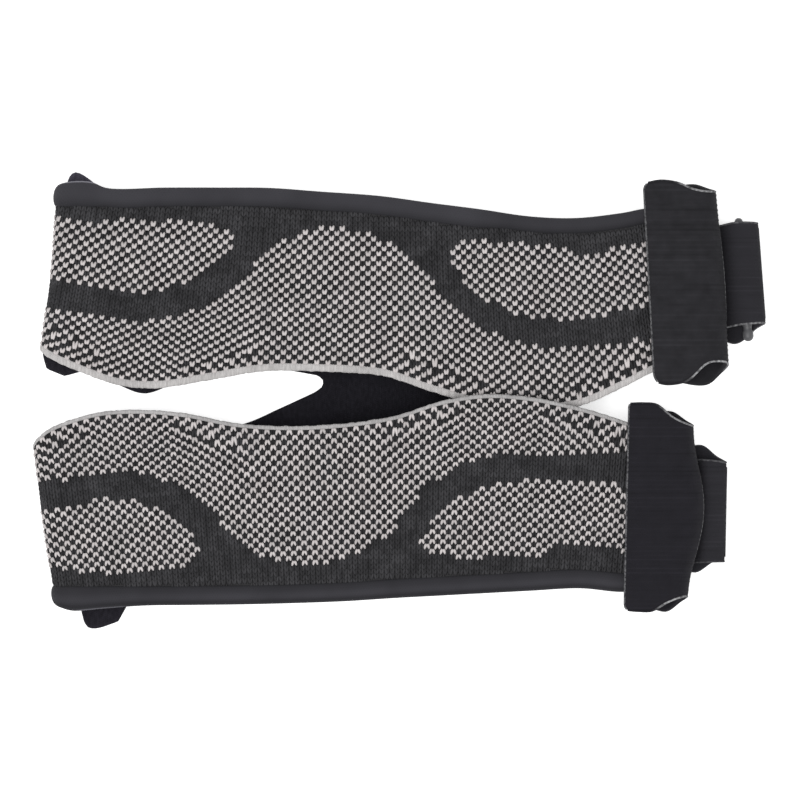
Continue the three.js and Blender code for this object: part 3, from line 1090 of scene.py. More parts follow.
@dataclass
class KnitBand:
    """One knitted band: its ground, light and dark stitches, the hem outside and the welt at the knee."""

    side: Side
    front: list[FrontRow]
    fold: tuple[FoldEnd, FoldEnd]
    bulge: float
    behind: list[Row]
    patches: dict[str, list[Spot]]
    marks: list[Spot]
    light_loop: Loop
    fan_x: float
    fan_radius: float
    welt_shown: float
    welt_over: float
    hem_line: float
    hem_painted_shade: list[Span]
    rim_span: Span
    rim_highlight: float = 4.0
    rim_depth: float = 0.3
    rim_fade: float = 1.0
    dark_loop: Loop = DARK_LOOP
    light_spread: Span = (0.06, 0.12)
    dark_spread: Span = (0.1, 0.26)
    fan_middle: float = 28.0
    hem_width: float = 4.6
    hem_thickness: float = 3.0
    hem_under: float = 0.3
    hem_fullness: float = 0.75
    hem_rib: float = 0.015
    hem_thin: float = 0.0
    hem_dim: float = 0.0
    hem_thins: Span = (17.0, 28.0)
    hem_clear: float = 0.2
    hem_at: float = 0.05
    hem_row: float = 0.34
    hem_columns: int = 18
    welt_width: float = 2.4
    welt_half: float = 0.858
    welt_under: float = 0.3
    welt_fullness: float = 0.5
    welt_rib: float = 0.06
    welt_uneven: Span = (0.06, 0.05)
    welt_at: float = 0.97
    welt_row: float = 0.17
    welt_columns: int = 10
    wale: float = 1.35
    course: float = 1.225
    wale_reach: int = 90
    course_span: tuple[int, int] = (-40, 46)
    arc_span: tuple[float, float, float] = (-45.0, 46.0, 0.5)
    narrowed: int = 2
    mark_wales: float = 4.0
    mark_ramp: float = 1.0
    plain_ramp: float = 3.0
    drift_courses: float = 15.0
    ground_half: float = 0.75
    ground_level: float = -0.27
    ground_row: float = 1.3
    ground_columns: int = 30
    stitch_level: float = 0.55
    light_lift: float = 0.12
    nudge: float = 0.2
    deep_shade: float = 0.78
    left_end: float = -104.0
    right_end: float = 66.0
    last_place: float = 0.999
    half_stitch: float = 0.15
    fade: Span = (-94.0, -89.0)
    seed: int = 3

    def __post_init__(self) -> None:
        """Lays the band's ribbon."""
        self.place = self.side.name.lower()
        over = []
        for row in self.front:
            hem = (row.hem_x, row.hem_y, FRONT_LEVEL + row.hem_lift)
            welt = (row.welt_x, row.welt_y, FRONT_LEVEL + row.welt_lift)
            over.append(Section(hem, welt, row.crown))
        turn = fold_sections(self.fold, FRONT_LEVEL, BAND_UNDER_LEVEL, -1, self.bulge)
        self.ribbon = Ribbon([*over, *turn, *run_sections(self.behind)])

    def build(self, finishes: Finishes, stitches: StitchNodes) -> None:
        """Makes and dresses the band's pieces.

        Args:
            finishes: The materials.
            stitches: The tree that sets the stitches.
        """
        panel = f"{self.place}_knit_panel"
        ground = self._ground()
        settle(ground, panel, finishes.ground)
        sets = self._stitches(finishes, stitches)
        for made, slot in zip(sets, (Slot.WELT, Slot.KNIT)):
            settle(made, panel)
        hem = self._hem()
        settle(hem, f"{self.place}_outer_hem", finishes.hem)
        welt = self._welt()
        settle(welt, f"{self.place}_inner_welt", finishes.welt[self.side])
        self.ribbon.flat_size()

    def _ground(self) -> Object:
        """Makes the dark cloth that the stitches stand on.

        Returns:
            The ground, which reaches under the hem and the welt.
        """
        u = self.ribbon.even(self.ground_row)
        start = np.full_like(u, self.hem_width / 2)
        end = self.ribbon.width(u) - self.welt_width / 2
        across, half = wall_columns(start, end, self.ground_half, self.ground_columns)
        return sweep(f"{self.place}_knit_ground", self.ribbon, u, across, half, self.ground_level)

    def _hem_reach(self, u: Array) -> Array:
        """Finds how far across the hem reaches.

        Args:
            u: Places along the band.

        Returns:
            The reach, which keeps the hem's inner border straight where its corner stands out.
        """
        edge = spline(self.ribbon.first, u)
        corner = np.clip(np.abs(edge[..., 1]) - self.hem_line, 0.0, None)
        return self.hem_width + corner - self.hem_thin * smooth_step(edge[..., 0], *self.hem_thins)

    def _hem(self) -> Object:
        """Makes the smooth rolled hem.

        Returns:
            The hem, with a faint rib at every half wale, painted shade across its roll and a painted
            highlight along its rim beside the tab behind it.
        """
        u = self.ribbon.even(self.hem_row, self.hem_at)
        reach = self._hem_reach(u)
        shape = (self.hem_thickness / 2, self.hem_columns, self.hem_fullness)
        across, half = roll_columns(np.zeros_like(u), reach + self.hem_under, *shape)
        rib = 1 + self.hem_rib * np.cos(self.ribbon.distance(u, self.hem_at) * math.tau / (self.wale / 2))
        edge = spline(self.ribbon.first, u)
        x, fade = edge[:, 0], self.rim_fade
        shown = [smooth_step(x, end - fade, end + fade) for end in self.rim_span]
        rim = shown[0] * (1 - shown[1])
        rim *= edge[:, 2] > FRONT_LEVEL - 1
        # Painted shade across the roll, which darkens the hem towards the knit; the lower hem also has a
        # dark line near its outer edge, and the upper hem is dimmed towards its right end.
        tone = np.interp(across / reach[:, None], *np.array(self.hem_painted_shade).T)
        tone *= 1 - self.hem_dim * smooth_step(edge[:, :1], *self.hem_thins)
        # A painted highlight along the hem's rim beside the tab behind it.
        tone *= 1 + self.rim_highlight * rim[:, None] * (across < self.rim_depth)
        half *= rib[:, None]
        return sweep(f"{self.place}_hem_roll", self.ribbon, u, across, half, **{TONE: tone})

    def _welt(self) -> Object:
        """Makes the light knitted edge.

        Returns:
            The welt, ribbed at every half wale and a little uneven.
        """
        u = self.ribbon.even(self.welt_row, self.welt_at)
        run = self.ribbon.distance(u, self.welt_at)
        knots = np.arange(0.0, run[-1] + self.wale, self.wale / 2)
        uneven = np.interp(run, knots, np.random.default_rng(self.seed).normal(0.0, 1.0, len(knots)))
        start = self.ribbon.width(u) - self.welt_shown - self.welt_under
        reach = self.welt_shown + self.welt_under + self.welt_over + self.welt_uneven[0] * uneven
        across, half = roll_columns(start, reach, self.welt_half, self.welt_columns, self.welt_fullness)
        rib = 1 + self.welt_rib * np.cos(run * math.tau / (self.wale / 2)) + self.welt_uneven[1] * uneven
        return sweep(f"{self.place}_welt_roll", self.ribbon, u, across, half * rib[:, None])

    def _stitches(self, finishes: Finishes, stitches: StitchNodes) -> list[Object]:
        """Sets the stitches.

        Args:
            finishes: The materials.
            stitches: The tree that sets them.

        Returns:
            The light stitches and the dark ones.
        """
        points, light, marks = self._sites()
        made = []
        for pick, yarn, finish, loop, spread in (
            (light, "light_stitches", finishes.light_yarn, self.light_loop, self.light_spread),
            (~light, "dark_stitches", finishes.dark_yarn, self.dark_loop, self.dark_spread),
        ):
            name = f"{self.place}_{yarn}"
            template = loop.build(f"{name}_loop")
            chosen = {key: mark[pick] for key, mark in marks.items()}
            sites = make_object(f"{name}_sites", points[pick], [], **chosen)
            values = {"Stitch": template, "Yarn": finish, "Seed": self.seed + self.side.value}
            values |= dict(zip(("Size Spread", "Tone Spread"), spread))
            made.append(stitches.evaluate(sites, values, name))
            bpy.data.objects.remove(template)
        return made

    def _fan(self, course: Array, angle: Array) -> tuple[Array, Array]:
        """Lays places on arcs round the fan's far centre.

        Args:
            course: Each place's arc, counted from the fan's middle.
            angle: The angle of its radius.

        Returns:
            X and Y in the flat.
        """
        reach = self.fan_radius + course * self.course
        out = self.fan_middle + self.fan_radius - reach * np.cos(angle)
        return self.fan_x + reach * np.sin(angle), self.side.value * out

    def _lattice(self) -> tuple[Array, Array, Array, Array, Array]:
        """Lays courses as arcs that bend to follow the welt, narrowed at the marks, and wales as radii.

        Returns:
            For each course and wale, X and Y in the flat, the wale's angle, whether the two make an odd
            square, and how far the courses lie apart.
        """
        wales = np.arange(-self.wale_reach, self.wale_reach + 1)
        angle = wales * self.wale / self.fan_radius
        arc = np.arange(*self.arc_span)
        u, f = self.ribbon.locate(*self._fan(arc[:, None], angle[None, :]))
        to_welt = (1 - f) * self.ribbon.width(u) - self.welt_shown
        end = np.array([np.interp(0.0, -line, arc) for line in to_welt.T])
        saw, drift, core, ramp = self._narrowing(wales, end)
        shown = smooth_step(self._fan(end, angle)[0], *self.fade)
        depth = end - arc[:, None]
        bend = saw * np.clip((core + ramp - depth) / (2 * ramp), 0.0, 1.0)
        bend += drift * np.clip(1 - depth / self.drift_courses, 0.0, 1.0)
        bent = arc[:, None] - shown * bend
        courses = np.arange(*self.course_span)
        place = np.column_stack([np.interp(courses, line, arc) for line in bent.T])
        odd = (courses[:, None] + wales[None, :]) % 2 == 1
        angles = np.repeat(angle[None, :], len(courses), axis=0)
        return *self._fan(place, angles), angles, odd, np.gradient(place, axis=0)

    def _narrowing(self, wales: Array, end: Array) -> tuple[Array, Array, Array, Array]:
        """Finds how the courses next to the welt differ from arcs.

        At each mark the knit loses two courses, in two tall stitches side by side.

        Args:
            wales: The wales.
            end: The course that each wale has at the welt.

        Returns:
            For each wale, the stretch in courses that is taken up at the depth of the marks, the stretch
            that is spread over many courses, the marks' depth and half the depth over which they take up
            theirs.
        """
        steps, eased = np.zeros(len(wales)), np.zeros(len(wales))
        ramp = np.full(len(wales), self.plain_ramp)
        middles, depths = [], []
        for mark in self.marks:
            rise = self.fan_middle + self.fan_radius - mark.out
            angle = math.atan2(mark.x - self.fan_x, rise)
            middle = round(angle * self.fan_radius / self.wale - 0.5) + 0.5
            before, there, after = np.interp([middle - 2, middle, middle + 2], wales, end)
            way = self.narrowed * np.sign(after - before)
            steps += way * (wales > middle + np.sign(way))
            eased += way * np.clip((wales - middle) / self.mark_wales + 0.5, 0.0, 1.0)
            ramp[np.abs(wales - middle) < 1] = self.mark_ramp
            middles.append(middle)
            depths.append(there - (math.hypot(mark.x - self.fan_x, rise) - self.fan_radius) / self.course)
        core = np.interp(wales, middles, depths)
        near = slice(np.searchsorted(wales, middles[0]), np.searchsorted(wales, middles[-1]))
        level = round(float(np.mean((end - eased)[near]))) + 0.5
        return eased - steps, end - eased - level, core, np.minimum(ramp, core)

    def _sites(self) -> tuple[Array, Array, dict[str, Array]]:
        """Finds every stitch's place on the band.

        Returns:
            The places, which stitches are light, and each one's turn, share of the light and stretch.
        """
        x, y, angle, odd, apart = self._lattice()
        u, f = self.ribbon.locate(x, y)
        width = self.ribbon.width(u)
        shown = (x > self.left_end) & (x < self.right_end) & (u < self.last_place)
        shown &= (f * width > self._hem_reach(u) + self.hem_clear) & ((1 - f) * width > self.welt_shown)
        flat = np.stack([x, y], axis=-1)[shown]
        patch = self._in_patch(flat[:, 0], flat[:, 1] * self.side.value)
        light = patch & ~odd[shown]
        points, turns = self._stand(flat, angle[shown], light)
        shade = np.where(patch & ~light, self.deep_shade, 1.0)
        return points, light, {TURN: turns, SHADE: shade, STRETCH: apart[shown]}

    def _stand(self, flat: Array, angle: Array, light: Array) -> tuple[Array, Array]:
        """Stands stitches off the band's mid wall and turns them with it.

        Args:
            flat: Their places in the flat.
            angle: Their wales' angles.
            light: Which stitches are light.

        Returns:
            Places and Euler turns.
        """
        way = self.side.value
        row = np.column_stack([way * np.cos(angle), np.sin(angle)]) * self.nudge
        column = np.column_stack([-np.sin(angle), way * np.cos(angle)]) * self.nudge
        places = (flat, flat + row, flat + column)
        middle, beside, outward = (self.ribbon.point(*self.ribbon.locate(*p.T)) for p in places)
        row = beside - middle
        row /= np.linalg.norm(row, axis=1, keepdims=True)
        column = outward - middle
        column -= row * np.sum(row * column, axis=1, keepdims=True)
        column /= np.linalg.norm(column, axis=1, keepdims=True)
        out = np.cross(row, column)
        roll = np.arctan2(column[:, 2], out[:, 2])
        tilt = -np.arcsin(np.clip(row[:, 2], -1, 1))
        heading = np.arctan2(row[:, 1], row[:, 0])
        lift = np.where(light, self.stitch_level + self.light_lift, self.stitch_level)
        return middle + out * lift[:, None], np.column_stack([roll, tilt, heading])

    def _in_patch(self, x: Array, out: Array) -> Array:
        """Tells which points lie in a light patch.

        Args:
            x: X in the flat.
            out: Distance from the knee line.

        Returns:
            Whether each point does.
        """
        limit = {key: self._border(x, border) for key, border in self.patches.items()}
        left, right = (
            (out < limit[f"{end}_out"] - self.half_stitch) & (out > limit[f"{end}_in"] + self.half_stitch)
            for end in ("left", "right")
        )
        left &= x < self.patches["left_out"][-1].x
        right &= x > self.patches["right_out"][0].x
        return (out < limit["inner"] - self.half_stitch) | left | right

    @staticmethod
    def _border(x: Array, border: list[Spot]) -> Array:
        """How far out a smooth border runs at each X."""
        line = spline(np.array(border, float), np.linspace(0.0, 1.0, BORDER_STEPS))
        return np.interp(x, line[:, 0], line[:, 1])


@dataclass
class Strap:
    """A strap along a ribbon: its web, the ribs on its outer face, its cut edges and a painted highlight
    along its fold.
    """

    name: str
    slot: Slot
    rests_on: str
    sections: list[Section]
    thickness: float
    mouth: Span
    mouth_pale: Span
    end_pale: float
    fold_highlight: float
    fold_span: Span = (0.05, 0.95)
    corners: Span = (0.5, 0.5)
    rib_pitch: float = 1.1
    rib_stand: float = 0.08
    rib_fullness: float = 0.56
    rib_spread: float = 0.09
    rib_drift: float = 0.6
    drift_span: tuple[float, float, float] = (50.0, 100.0, 4.0)
    edge_radius: float = 0.26
    edge_inset: float = 0.1
    end_span: Span = (0.005, 0.995)
    end_points: int = 80
    fold_points: int = 60
    mouth_opens: Span = (3.0, 1.0)
    mouth_closes: Span = (1.0, 4.0)
    web_row: float = 0.8
    web_columns: int = 24
    rib_row: float = 1.0
    edge_row: float = 0.7
    seed: int = 5

    def __post_init__(self) -> None:
        """Lays the strap's ribbon."""
        self.ribbon = Ribbon(self.sections)
        self.length = float(self.ribbon.run(0.5)[-1])

    def build(self, finish: Material, cords: CordNodes) -> None:
        """Makes and dresses the strap's pieces.

        Args:
            finish: Its material.
            cords: The tree that lays ribs and edges.
        """
        web = self._web()
        settle(web, self.name, finish)
        ribs = self._ribs(finish, cords)
        settle(ribs, self.name)
        edges = self._edges(finish, cords)
        settle(edges, self.name)
        self.ribbon.flat_size()

    def _lead(self, across: Array, width: Array | float) -> Array:
        """Finds how far along the ribbon the strap starts, for its round corners.

        Args:
            across: Distances from its first edge.
            width: Its width there.

        Returns:
            Places along the ribbon.
        """
        lead = 0.0
        for corner, inside in zip(self.corners, (across, width - across)):
            short = np.clip(corner - inside, 0.0, corner)
            lead = np.maximum(lead, corner - np.sqrt(corner**2 - short**2))
        return lead / self.length

    def _web(self) -> Object:
        """Makes the strap's own wall.

        Returns:
            The web.
        """
        u = self.ribbon.even(self.web_row)
        width = self.ribbon.width(u)
        wall = self.thickness / 2 - self.rib_stand / 2
        across, half = wall_columns(np.zeros_like(u), width, wall, self.web_columns)
        lead = self._lead(across[0], float(width[0]))
        marks = {PALE: np.zeros_like(across), TONE: np.ones_like(across)}
        return sweep(f"{self.name}_web", self.ribbon, u, across, half, -self.rib_stand / 2, lead, **marks)

    def _line(self, u: Array, across: Array, stand: float) -> Array:
        """Draws a line on the strap.

        Args:
            u: Places along it.
            across: Distances from its first edge.
            stand: How far the line stands off the mid wall.

        Returns:
            The line's points.
        """
        width = self.ribbon.width(u)
        lead = self._lead(across, width)
        place = lead + (1 - lead) * u
        f = across / width
        return self.ribbon.point(place, f) + self.ribbon.normal(place, f) * stand

    def _ribs(self, finish: Material, cords: CordNodes) -> Object:
        """Lays straight ribs side by side along the strap's outer face, cut where its edges cross them.

        Args:
            finish: Their material.
            cords: The tree that lays them.

        Returns:
            The ribs.
        """
        u = self.ribbon.even(self.rib_row)
        width = self.ribbon.width(u)
        first, second = (spline(edge, u)[:, 1] for edge in (self.ribbon.first, self.ribbon.second))
        radius = self.rib_pitch * self.rib_fullness
        stand = self.thickness / 2 - radius
        lines = []
        for y in np.arange(second.min(), first.max(), self.rib_pitch):
            across = width * (first - y) / (first - second)
            inside = np.flatnonzero((across > radius) & (across < width - radius))
            for stretch in np.split(inside, np.flatnonzero(np.diff(inside) > 1) + 1):
                if len(stretch) > 2:
                    lines.append(self._line(u[stretch], across[stretch], stand))
        draw = np.random.default_rng(self.seed)
        tone = [self._rib_tone(draw, line) for line in lines]
        pale = [np.zeros(len(line)) for line in lines]
        return cords.lay(f"{self.name}_ribs", lines, pale, tone, radius, finish)

    def _rib_tone(self, draw: np.random.Generator, line: Array) -> Array:
        """Draws a rib's own tone.

        Args:
            draw: Where the random numbers come from.
            line: The rib's points.

        Returns:
            A tone about 1 at each point, which drifts a little along the rib.
        """
        knots = np.arange(*self.drift_span)
        drift = np.interp(line[:, 0], knots, draw.normal(0.0, 1.0, len(knots)))
        return 1 + self.rib_spread * (draw.normal() + self.rib_drift * drift)

    def _edges(self, finish: Material, cords: CordNodes) -> Object:
        """Lays the strap's cut edges, whose pale core shows at the mouths of its fold, and a line over
        the fold's outermost bend with a painted highlight.

        Args:
            finish: Their material.
            cords: The tree that lays them.

        Returns:
            The edges.
        """
        u = self.ribbon.even(self.edge_row)
        width = self.ribbon.width(u)
        run = self.ribbon.distance(u)
        faded = []
        for end, (before, after) in zip(self.mouth, (self.mouth_opens, self.mouth_closes)):
            faded.append(smooth_step(run, end - before, end + after))
        open_mouth = faded[0] * (1 - faded[1])
        middle = self.ribbon.point(self.ribbon.steps, np.full_like(self.ribbon.steps, 0.5))
        across_end = np.linspace(*self.end_span, self.end_points)
        across_fold = np.linspace(*self.fold_span, self.fold_points)
        fold = np.full_like(across_fold, self.ribbon.steps[np.argmax(middle[:, 0])])
        stand = self.thickness / 2 - self.edge_radius
        lines = [
            self._line(u, np.full_like(u, self.edge_inset), stand),
            self._line(u, width - self.edge_inset, stand),
            self._line(np.zeros_like(across_end), across_end * width[0], stand),
            self._line(fold, across_fold * self.ribbon.width(fold), stand),
        ]
        pale = [
            *(open_mouth * strength for strength in self.mouth_pale),
            np.full_like(across_end, self.end_pale),
            # A painted highlight along the fold's outermost bend, strongest at its middle.
            self.fold_highlight * np.sin(np.linspace(0.0, math.pi, len(fold))),
        ]
        tone = [np.ones(len(line)) for line in lines]
        return cords.lay(f"{self.name}_edges", lines, pale, tone, self.edge_radius, finish)


@dataclass
class StrapBar:
    """The grey bar inside a narrow strap's loop, with a shallow neck near each round end."""

    name: str
    top: Span
    bottom: Span
    top_knob: float = 1.05
    bottom_knob: float = 1.35
    radius: float = 1.2
    level: float = 2.8
    knob_end: float = 2.4
    neck: Span = (2.8, 3.6)
    neck_radius: float = 1.05
    shoulder: float = 4.0
    sides: int = 28
    cap_steps: int = 7

    def build(self, finish: Material) -> None:
        """Makes and dresses the bar.

        Args:
            finish: Its material.
        """
        ends = np.array([(*self.bottom, self.level), (*self.top, self.level)])
        length = float(np.linalg.norm(ends[1] - ends[0]))
        near, far = self._end(self.bottom_knob), self._end(self.top_knob)
        profile = [*near, *((length - place, size) for place, size in reversed(far))]
        along = (ends[1] - ends[0]) / length
        up = np.array([0.0, 0.0, 1.0])
        ring = np.arange(self.sides)[:, None] * math.tau / self.sides
        circle = np.cos(ring) * np.cross(along, up) + np.sin(ring) * up
        points = [ends[0] + along * place + circle * size for place, size in profile]
        count = len(profile) * self.sides
        index = np.arange(count).reshape(-1, self.sides)
        faces = tube_faces(index)
        for tip, rim in ((count, index[0, ::-1]), (count + 1, index[-1])):
            faces += [[tip, int(a), int(b)] for a, b in zip(rim, np.roll(rim, -1))]
        bar = make_object(f"{self.name}_rod", np.concatenate([*points, ends]), faces)
        settle(bar, self.name, finish)

    def _end(self, knob: float) -> list[Span]:
        """Shapes one end of the bar.

        Args:
            knob: The radius of its round end.

        Returns:
            Distance from the tip and radius, up to the bar's shoulder.
        """
        turns = np.linspace(0.0, math.pi / 2, self.cap_steps)[1:]
        cap = [(knob * (1 - math.cos(turn)), knob * math.sin(turn)) for turn in turns]
        neck = [(place, self.neck_radius) for place in self.neck]
        return [*cap, (self.knob_end, knob), *neck, (self.shoulder, self.radius)]


@dataclass
class BackPanel:
    """The black cloth behind both bands, flat on the surface, with soft rolled edges."""

    outline: list[list[Span]]
    thickness: float = 1.5
    spacing: float = 1.0
    outline_steps: int = 40
    grid: float = 2.6
    grid_rise: float = 0.866
    grid_clear: float = 0.6
    rings: tuple[float, ...] = (0.12, 0.4, 0.8)
    ring_clear: float = 0.08
    rim_depth: float = 1e-4
    merged: float = 1e-6
    wave: float = 0.12
    wave_lengths: tuple[float, float, float] = (7.0, 5.0, 23.0)
    left_pale: float = 0.55
    left_span: Span = (40.0, 65.0)
    tab_pale: float = 2.6
    tab_span: Span = (52.0, 54.0)

    def build(self, finish: Material) -> None:
        """Makes and dresses the panel.

        Args:
            finish: Its material.
        """
        border = self._border()
        flat = np.concatenate([border, self._inside(border)])
        found = delaunay_2d_cdt([Vector(p) for p in flat], [], [list(range(len(border)))], 1, self.merged)
        flat = np.array([tuple(p) for p in found[0]])
        faces = [list(face) for face in found[2]]
        depth = self._depth(flat, border)
        on_rim = depth < self.rim_depth
        half = self.thickness / 2
        height = half * np.sqrt(1 - (1 - np.clip(depth / half, 0.0, 1.0)) ** 2)
        height[on_rim] = 0.0
        x, y = flat.T
        long, short, slant = self.wave_lengths
        wave = self.wave * np.sin(x / long) * np.sin(y / short + x / slant) - self.wave
        top = np.column_stack([flat, half + height + wave * (height / half)])
        lower = np.flatnonzero(~on_rim)
        bottom = np.column_stack([flat[lower], half - height[lower]])
        below = np.arange(len(flat))
        below[lower] = len(flat) + np.arange(len(lower))
        turned = [[int(below[corner]) for corner in reversed(face)] for face in faces]
        uv = np.concatenate([flat, flat[lower]])
        tone = 1 + self.left_pale * smooth_step(-uv[:, 0], *self.left_span)
        tone *= 1 + self.tab_pale * smooth_step(uv[:, 1], *self.tab_span)
        points = np.concatenate([top, bottom])
        panel = make_object("back_cloth_panel", points, [*faces, *turned], uv=uv, **{TONE: tone})
        settle(panel, "back_panel", finish)

    def _border(self) -> Array:
        """Rounds the outline.

        Returns:
            Points along it at even distances.
        """
        at = np.linspace(0.0, 1.0, self.outline_steps)
        line = np.concatenate([spline(np.array(stretch, float), at) for stretch in self.outline])
        line = np.vstack([line, line[:1]])
        run = travel(line)
        even = np.linspace(0.0, run[-1], round(run[-1] / self.spacing))[:-1]
        return np.column_stack([np.interp(even, run, line[:, axis]) for axis in (0, 1)])

    def _inside(self, border: Array) -> Array:
        """Lays points inside the outline.

        Args:
            border: The outline.

        Returns:
            Rings along it and an even grid.
        """
        ahead = np.roll(border, -1, axis=0) - np.roll(border, 1, axis=0)
        ahead /= np.linalg.norm(ahead, axis=1, keepdims=True)
        inward = np.column_stack([-ahead[:, 1], ahead[:, 0]])
        rings = [border + inward * depth for depth in self.rings]
        low, high = border.min(axis=0), border.max(axis=0)
        columns = np.arange(low[0], high[0], self.grid)
        rows = np.arange(low[1], high[1], self.grid * self.grid_rise)
        grid_x, grid_y = np.meshgrid(columns, rows)
        grid_x[1::2] += self.grid / 2
        grid = np.column_stack([grid_x.ravel(), grid_y.ravel()])
        grid = grid[self._depth(grid, border) > self.grid * self.grid_clear]
        rings = [ring[self._depth(ring, border) > self.ring_clear] for ring in rings]
        points = np.concatenate([*rings, grid])
        return points[self._within(points, border)]

    @staticmethod
    def _within(points: Array, border: Array) -> Array:
        """Tells which points lie inside a closed outline.

        Args:
            points: The points.
            border: The outline.

        Returns:
            Whether each point does.
        """
        after = np.roll(border, -1, axis=0)
        x, y = points[:, :1], points[:, 1:]
        spans = (border[:, 1] > y) != (after[:, 1] > y)
        rise = np.where(after[:, 1] == border[:, 1], 1.0, after[:, 1] - border[:, 1])
        cross = border[:, 0] + (y - border[:, 1]) * (after[:, 0] - border[:, 0]) / rise
        return np.sum(spans & (x < cross), axis=1) % 2 == 1

    @staticmethod
    def _depth(points: Array, border: Array) -> Array:
        """Measures how far points are from a closed outline.

        Args:
            points: The points.
            border: The outline.

        Returns:
            Each point's distance.
        """
        way = np.roll(border, -1, axis=0) - border
        offset = points[:, None, :] - border[None, :, :]
        share = np.clip(np.sum(offset * way, axis=2) / np.sum(way**2, axis=1), 0.0, 1.0)
        return np.linalg.norm(offset - share[..., None] * way, axis=2).min(axis=1)


@dataclass
class Studio:
    """A pale floor, soft light and a camera straight above."""

    view_width: float = 200.0
    camera_height: float = 2.0
    sensor: float = 36.0
    floor_reach: float = 3000.0
    floor_colour: Colour = (0.87, 0.87, 0.87)
    floor_gloss: float = 0.1
    floor_glow: float = 0.6
    floor_grain: float = 60.0
    floor_roughness: Span = (0.85, 0.95)
    key_power: float = 16.0
    key_size: float = 1.1
    key_place: tuple[float, float, float] = (-0.2, -0.2, 1.33)
    sky: float = 0.55

    def build(self) -> None:
        """Makes the floor, the lights and the camera."""
        scene = bpy.context.scene
        scene.view_settings.view_transform = "Standard"
        self._floor()
        world = bpy.data.worlds.new("studio sky")
        world.use_nodes = True
        sky = Tree(world.node_tree)
        sky.fill(world.node_tree.nodes["Background"], {"Strength": self.sky, "Color": WHITE})
        scene.world = world
        key = bpy.data.lights.new("soft key", "AREA")
        key.energy = self.key_power
        key.size = self.key_size
        lamp = put_in_scene("soft key", key)
        lamp.location = self.key_place
        lamp.rotation_euler = (-Vector(lamp.location)).to_track_quat("-Z", "Y").to_euler()
        lens = bpy.data.cameras.new("camera")
        lens.sensor_width = self.sensor
        lens.lens = self.sensor * self.camera_height / (self.view_width * MM)
        camera = put_in_scene("camera", lens)
        camera.location = (0.0, 0.0, self.camera_height + FRONT_LEVEL * MM)
        scene.camera = camera
        LOG.info("studio: floor, key light, sky and camera")

    def _floor(self) -> None:
        """Makes a pale matt floor with a faint grain in its gloss."""
        corners = np.array([(-1, -1, 0), (1, -1, 0), (1, 1, 0), (-1, 1, 0)]) * self.floor_reach
        floor = make_object("floor", corners, [[0, 1, 2, 3]])
        material, tree, shader, place = open_material("pale floor")
        inputs = {"Base Color": (*self.floor_colour, 1.0), "Specular IOR Level": self.floor_gloss}
        inputs |= {"Emission Color": WHITE, "Emission Strength": self.floor_glow}
        grain = tree.noise(place, self.floor_grain)
        inputs["Roughness"] = tree.scaled(grain, 0.0, 1.0, *self.floor_roughness)
        tree.fill(shader, inputs)
        floor.data.materials.append(material)


# The borders of the light patches on each band, from left to right
UPPER_PATCHES = {
    "inner": table(
        Spot,
        (-112, 23.4), (-90, 23.2), (-84, 22.6), (-76, 21.2), (-64, 19.9), (-53, 22.2), (-43, 27.4),
        (-35, 35.2), (-28, 40.8), (-20, 43.1), (-14, 43.3), (-7, 41.4), (0, 38), (6, 32.4),
        (11, 25.8), (17, 20.5), (24, 17), (32, 14.1), (42, 13.6), (50, 14.4), (62, 15.4),
        (74, 15.6),
    ),
    "left_out": table(
        Spot,
        (-112, 47), (-90, 47), (-84.6, 46.2), (-76, 44.6), (-70.5, 45.9), (-60.4, 44.9),
        (-56.4, 45.1), (-48, 44.8), (-44.1, 43.1), (-41, 40.2),
    ),
    "left_in": table(
        Spot,
        (-112, 30.2), (-90, 30.2), (-82, 29.2), (-68, 27.1), (-62, 26.9), (-56, 28.4), (-51, 30.2),
        (-45, 34.2), (-41, 40),
    ),
    "right_out": table(
        Spot,
        (12.1, 36.4), (15, 39.5), (19, 40.3), (27, 39.6), (40, 38.4), (45, 36.3), (54, 38.2),
        (62, 39.6), (74, 40.4),
    ),
    "right_in": table(
        Spot,
        (12.1, 34.6), (16, 29.5), (22, 24.5), (28, 21.9), (34, 20.3), (47, 20.6), (56, 22.1),
        (62, 23), (74, 23.6),
    ),
}
LOWER_PATCHES = {
    "inner": table(
        Spot,
        (-112, 20.4), (-92, 20.4), (-82, 20), (-76, 19), (-71, 18), (-60, 19.9), (-52, 24.4),
        (-45, 30.3), (-41, 35.5), (-35, 39), (-27, 41.5), (-22, 41.4), (-12, 39.3), (-5, 35.1),
        (0, 30.5), (4, 24.8), (10, 19.4), (16, 16.5), (24, 13.8), (34, 13.8), (46, 13.5),
        (57, 12.8), (70, 12.8),
    ),
    "left_out": table(
        Spot,
        (-112, 41.6), (-92, 41.6), (-86, 42), (-79, 43.2), (-64, 43.4), (-57, 42.9), (-52.6, 41.6),
        (-49.3, 38.4),
    ),
    "left_in": table(
        Spot,
        (-112, 27.3), (-92, 27.3), (-82, 26.5), (-76, 24.8), (-68, 24.7), (-60, 26.9), (-54, 30.4),
        (-51, 35.2), (-49.3, 37.5),
    ),
    "right_out": table(
        Spot,
        (5.2, 36.2), (9, 38.5), (13, 39.3), (19, 39.6), (37, 38.4), (40, 36.5), (44, 36.2),
        (57, 38.1), (70, 38.3),
    ),
    "right_in": table(
        Spot,
        (5.2, 34.6), (9, 28.7), (16, 23.5), (25, 20.3), (42, 20.3), (56, 21.1), (70, 21.3),
    ),
}

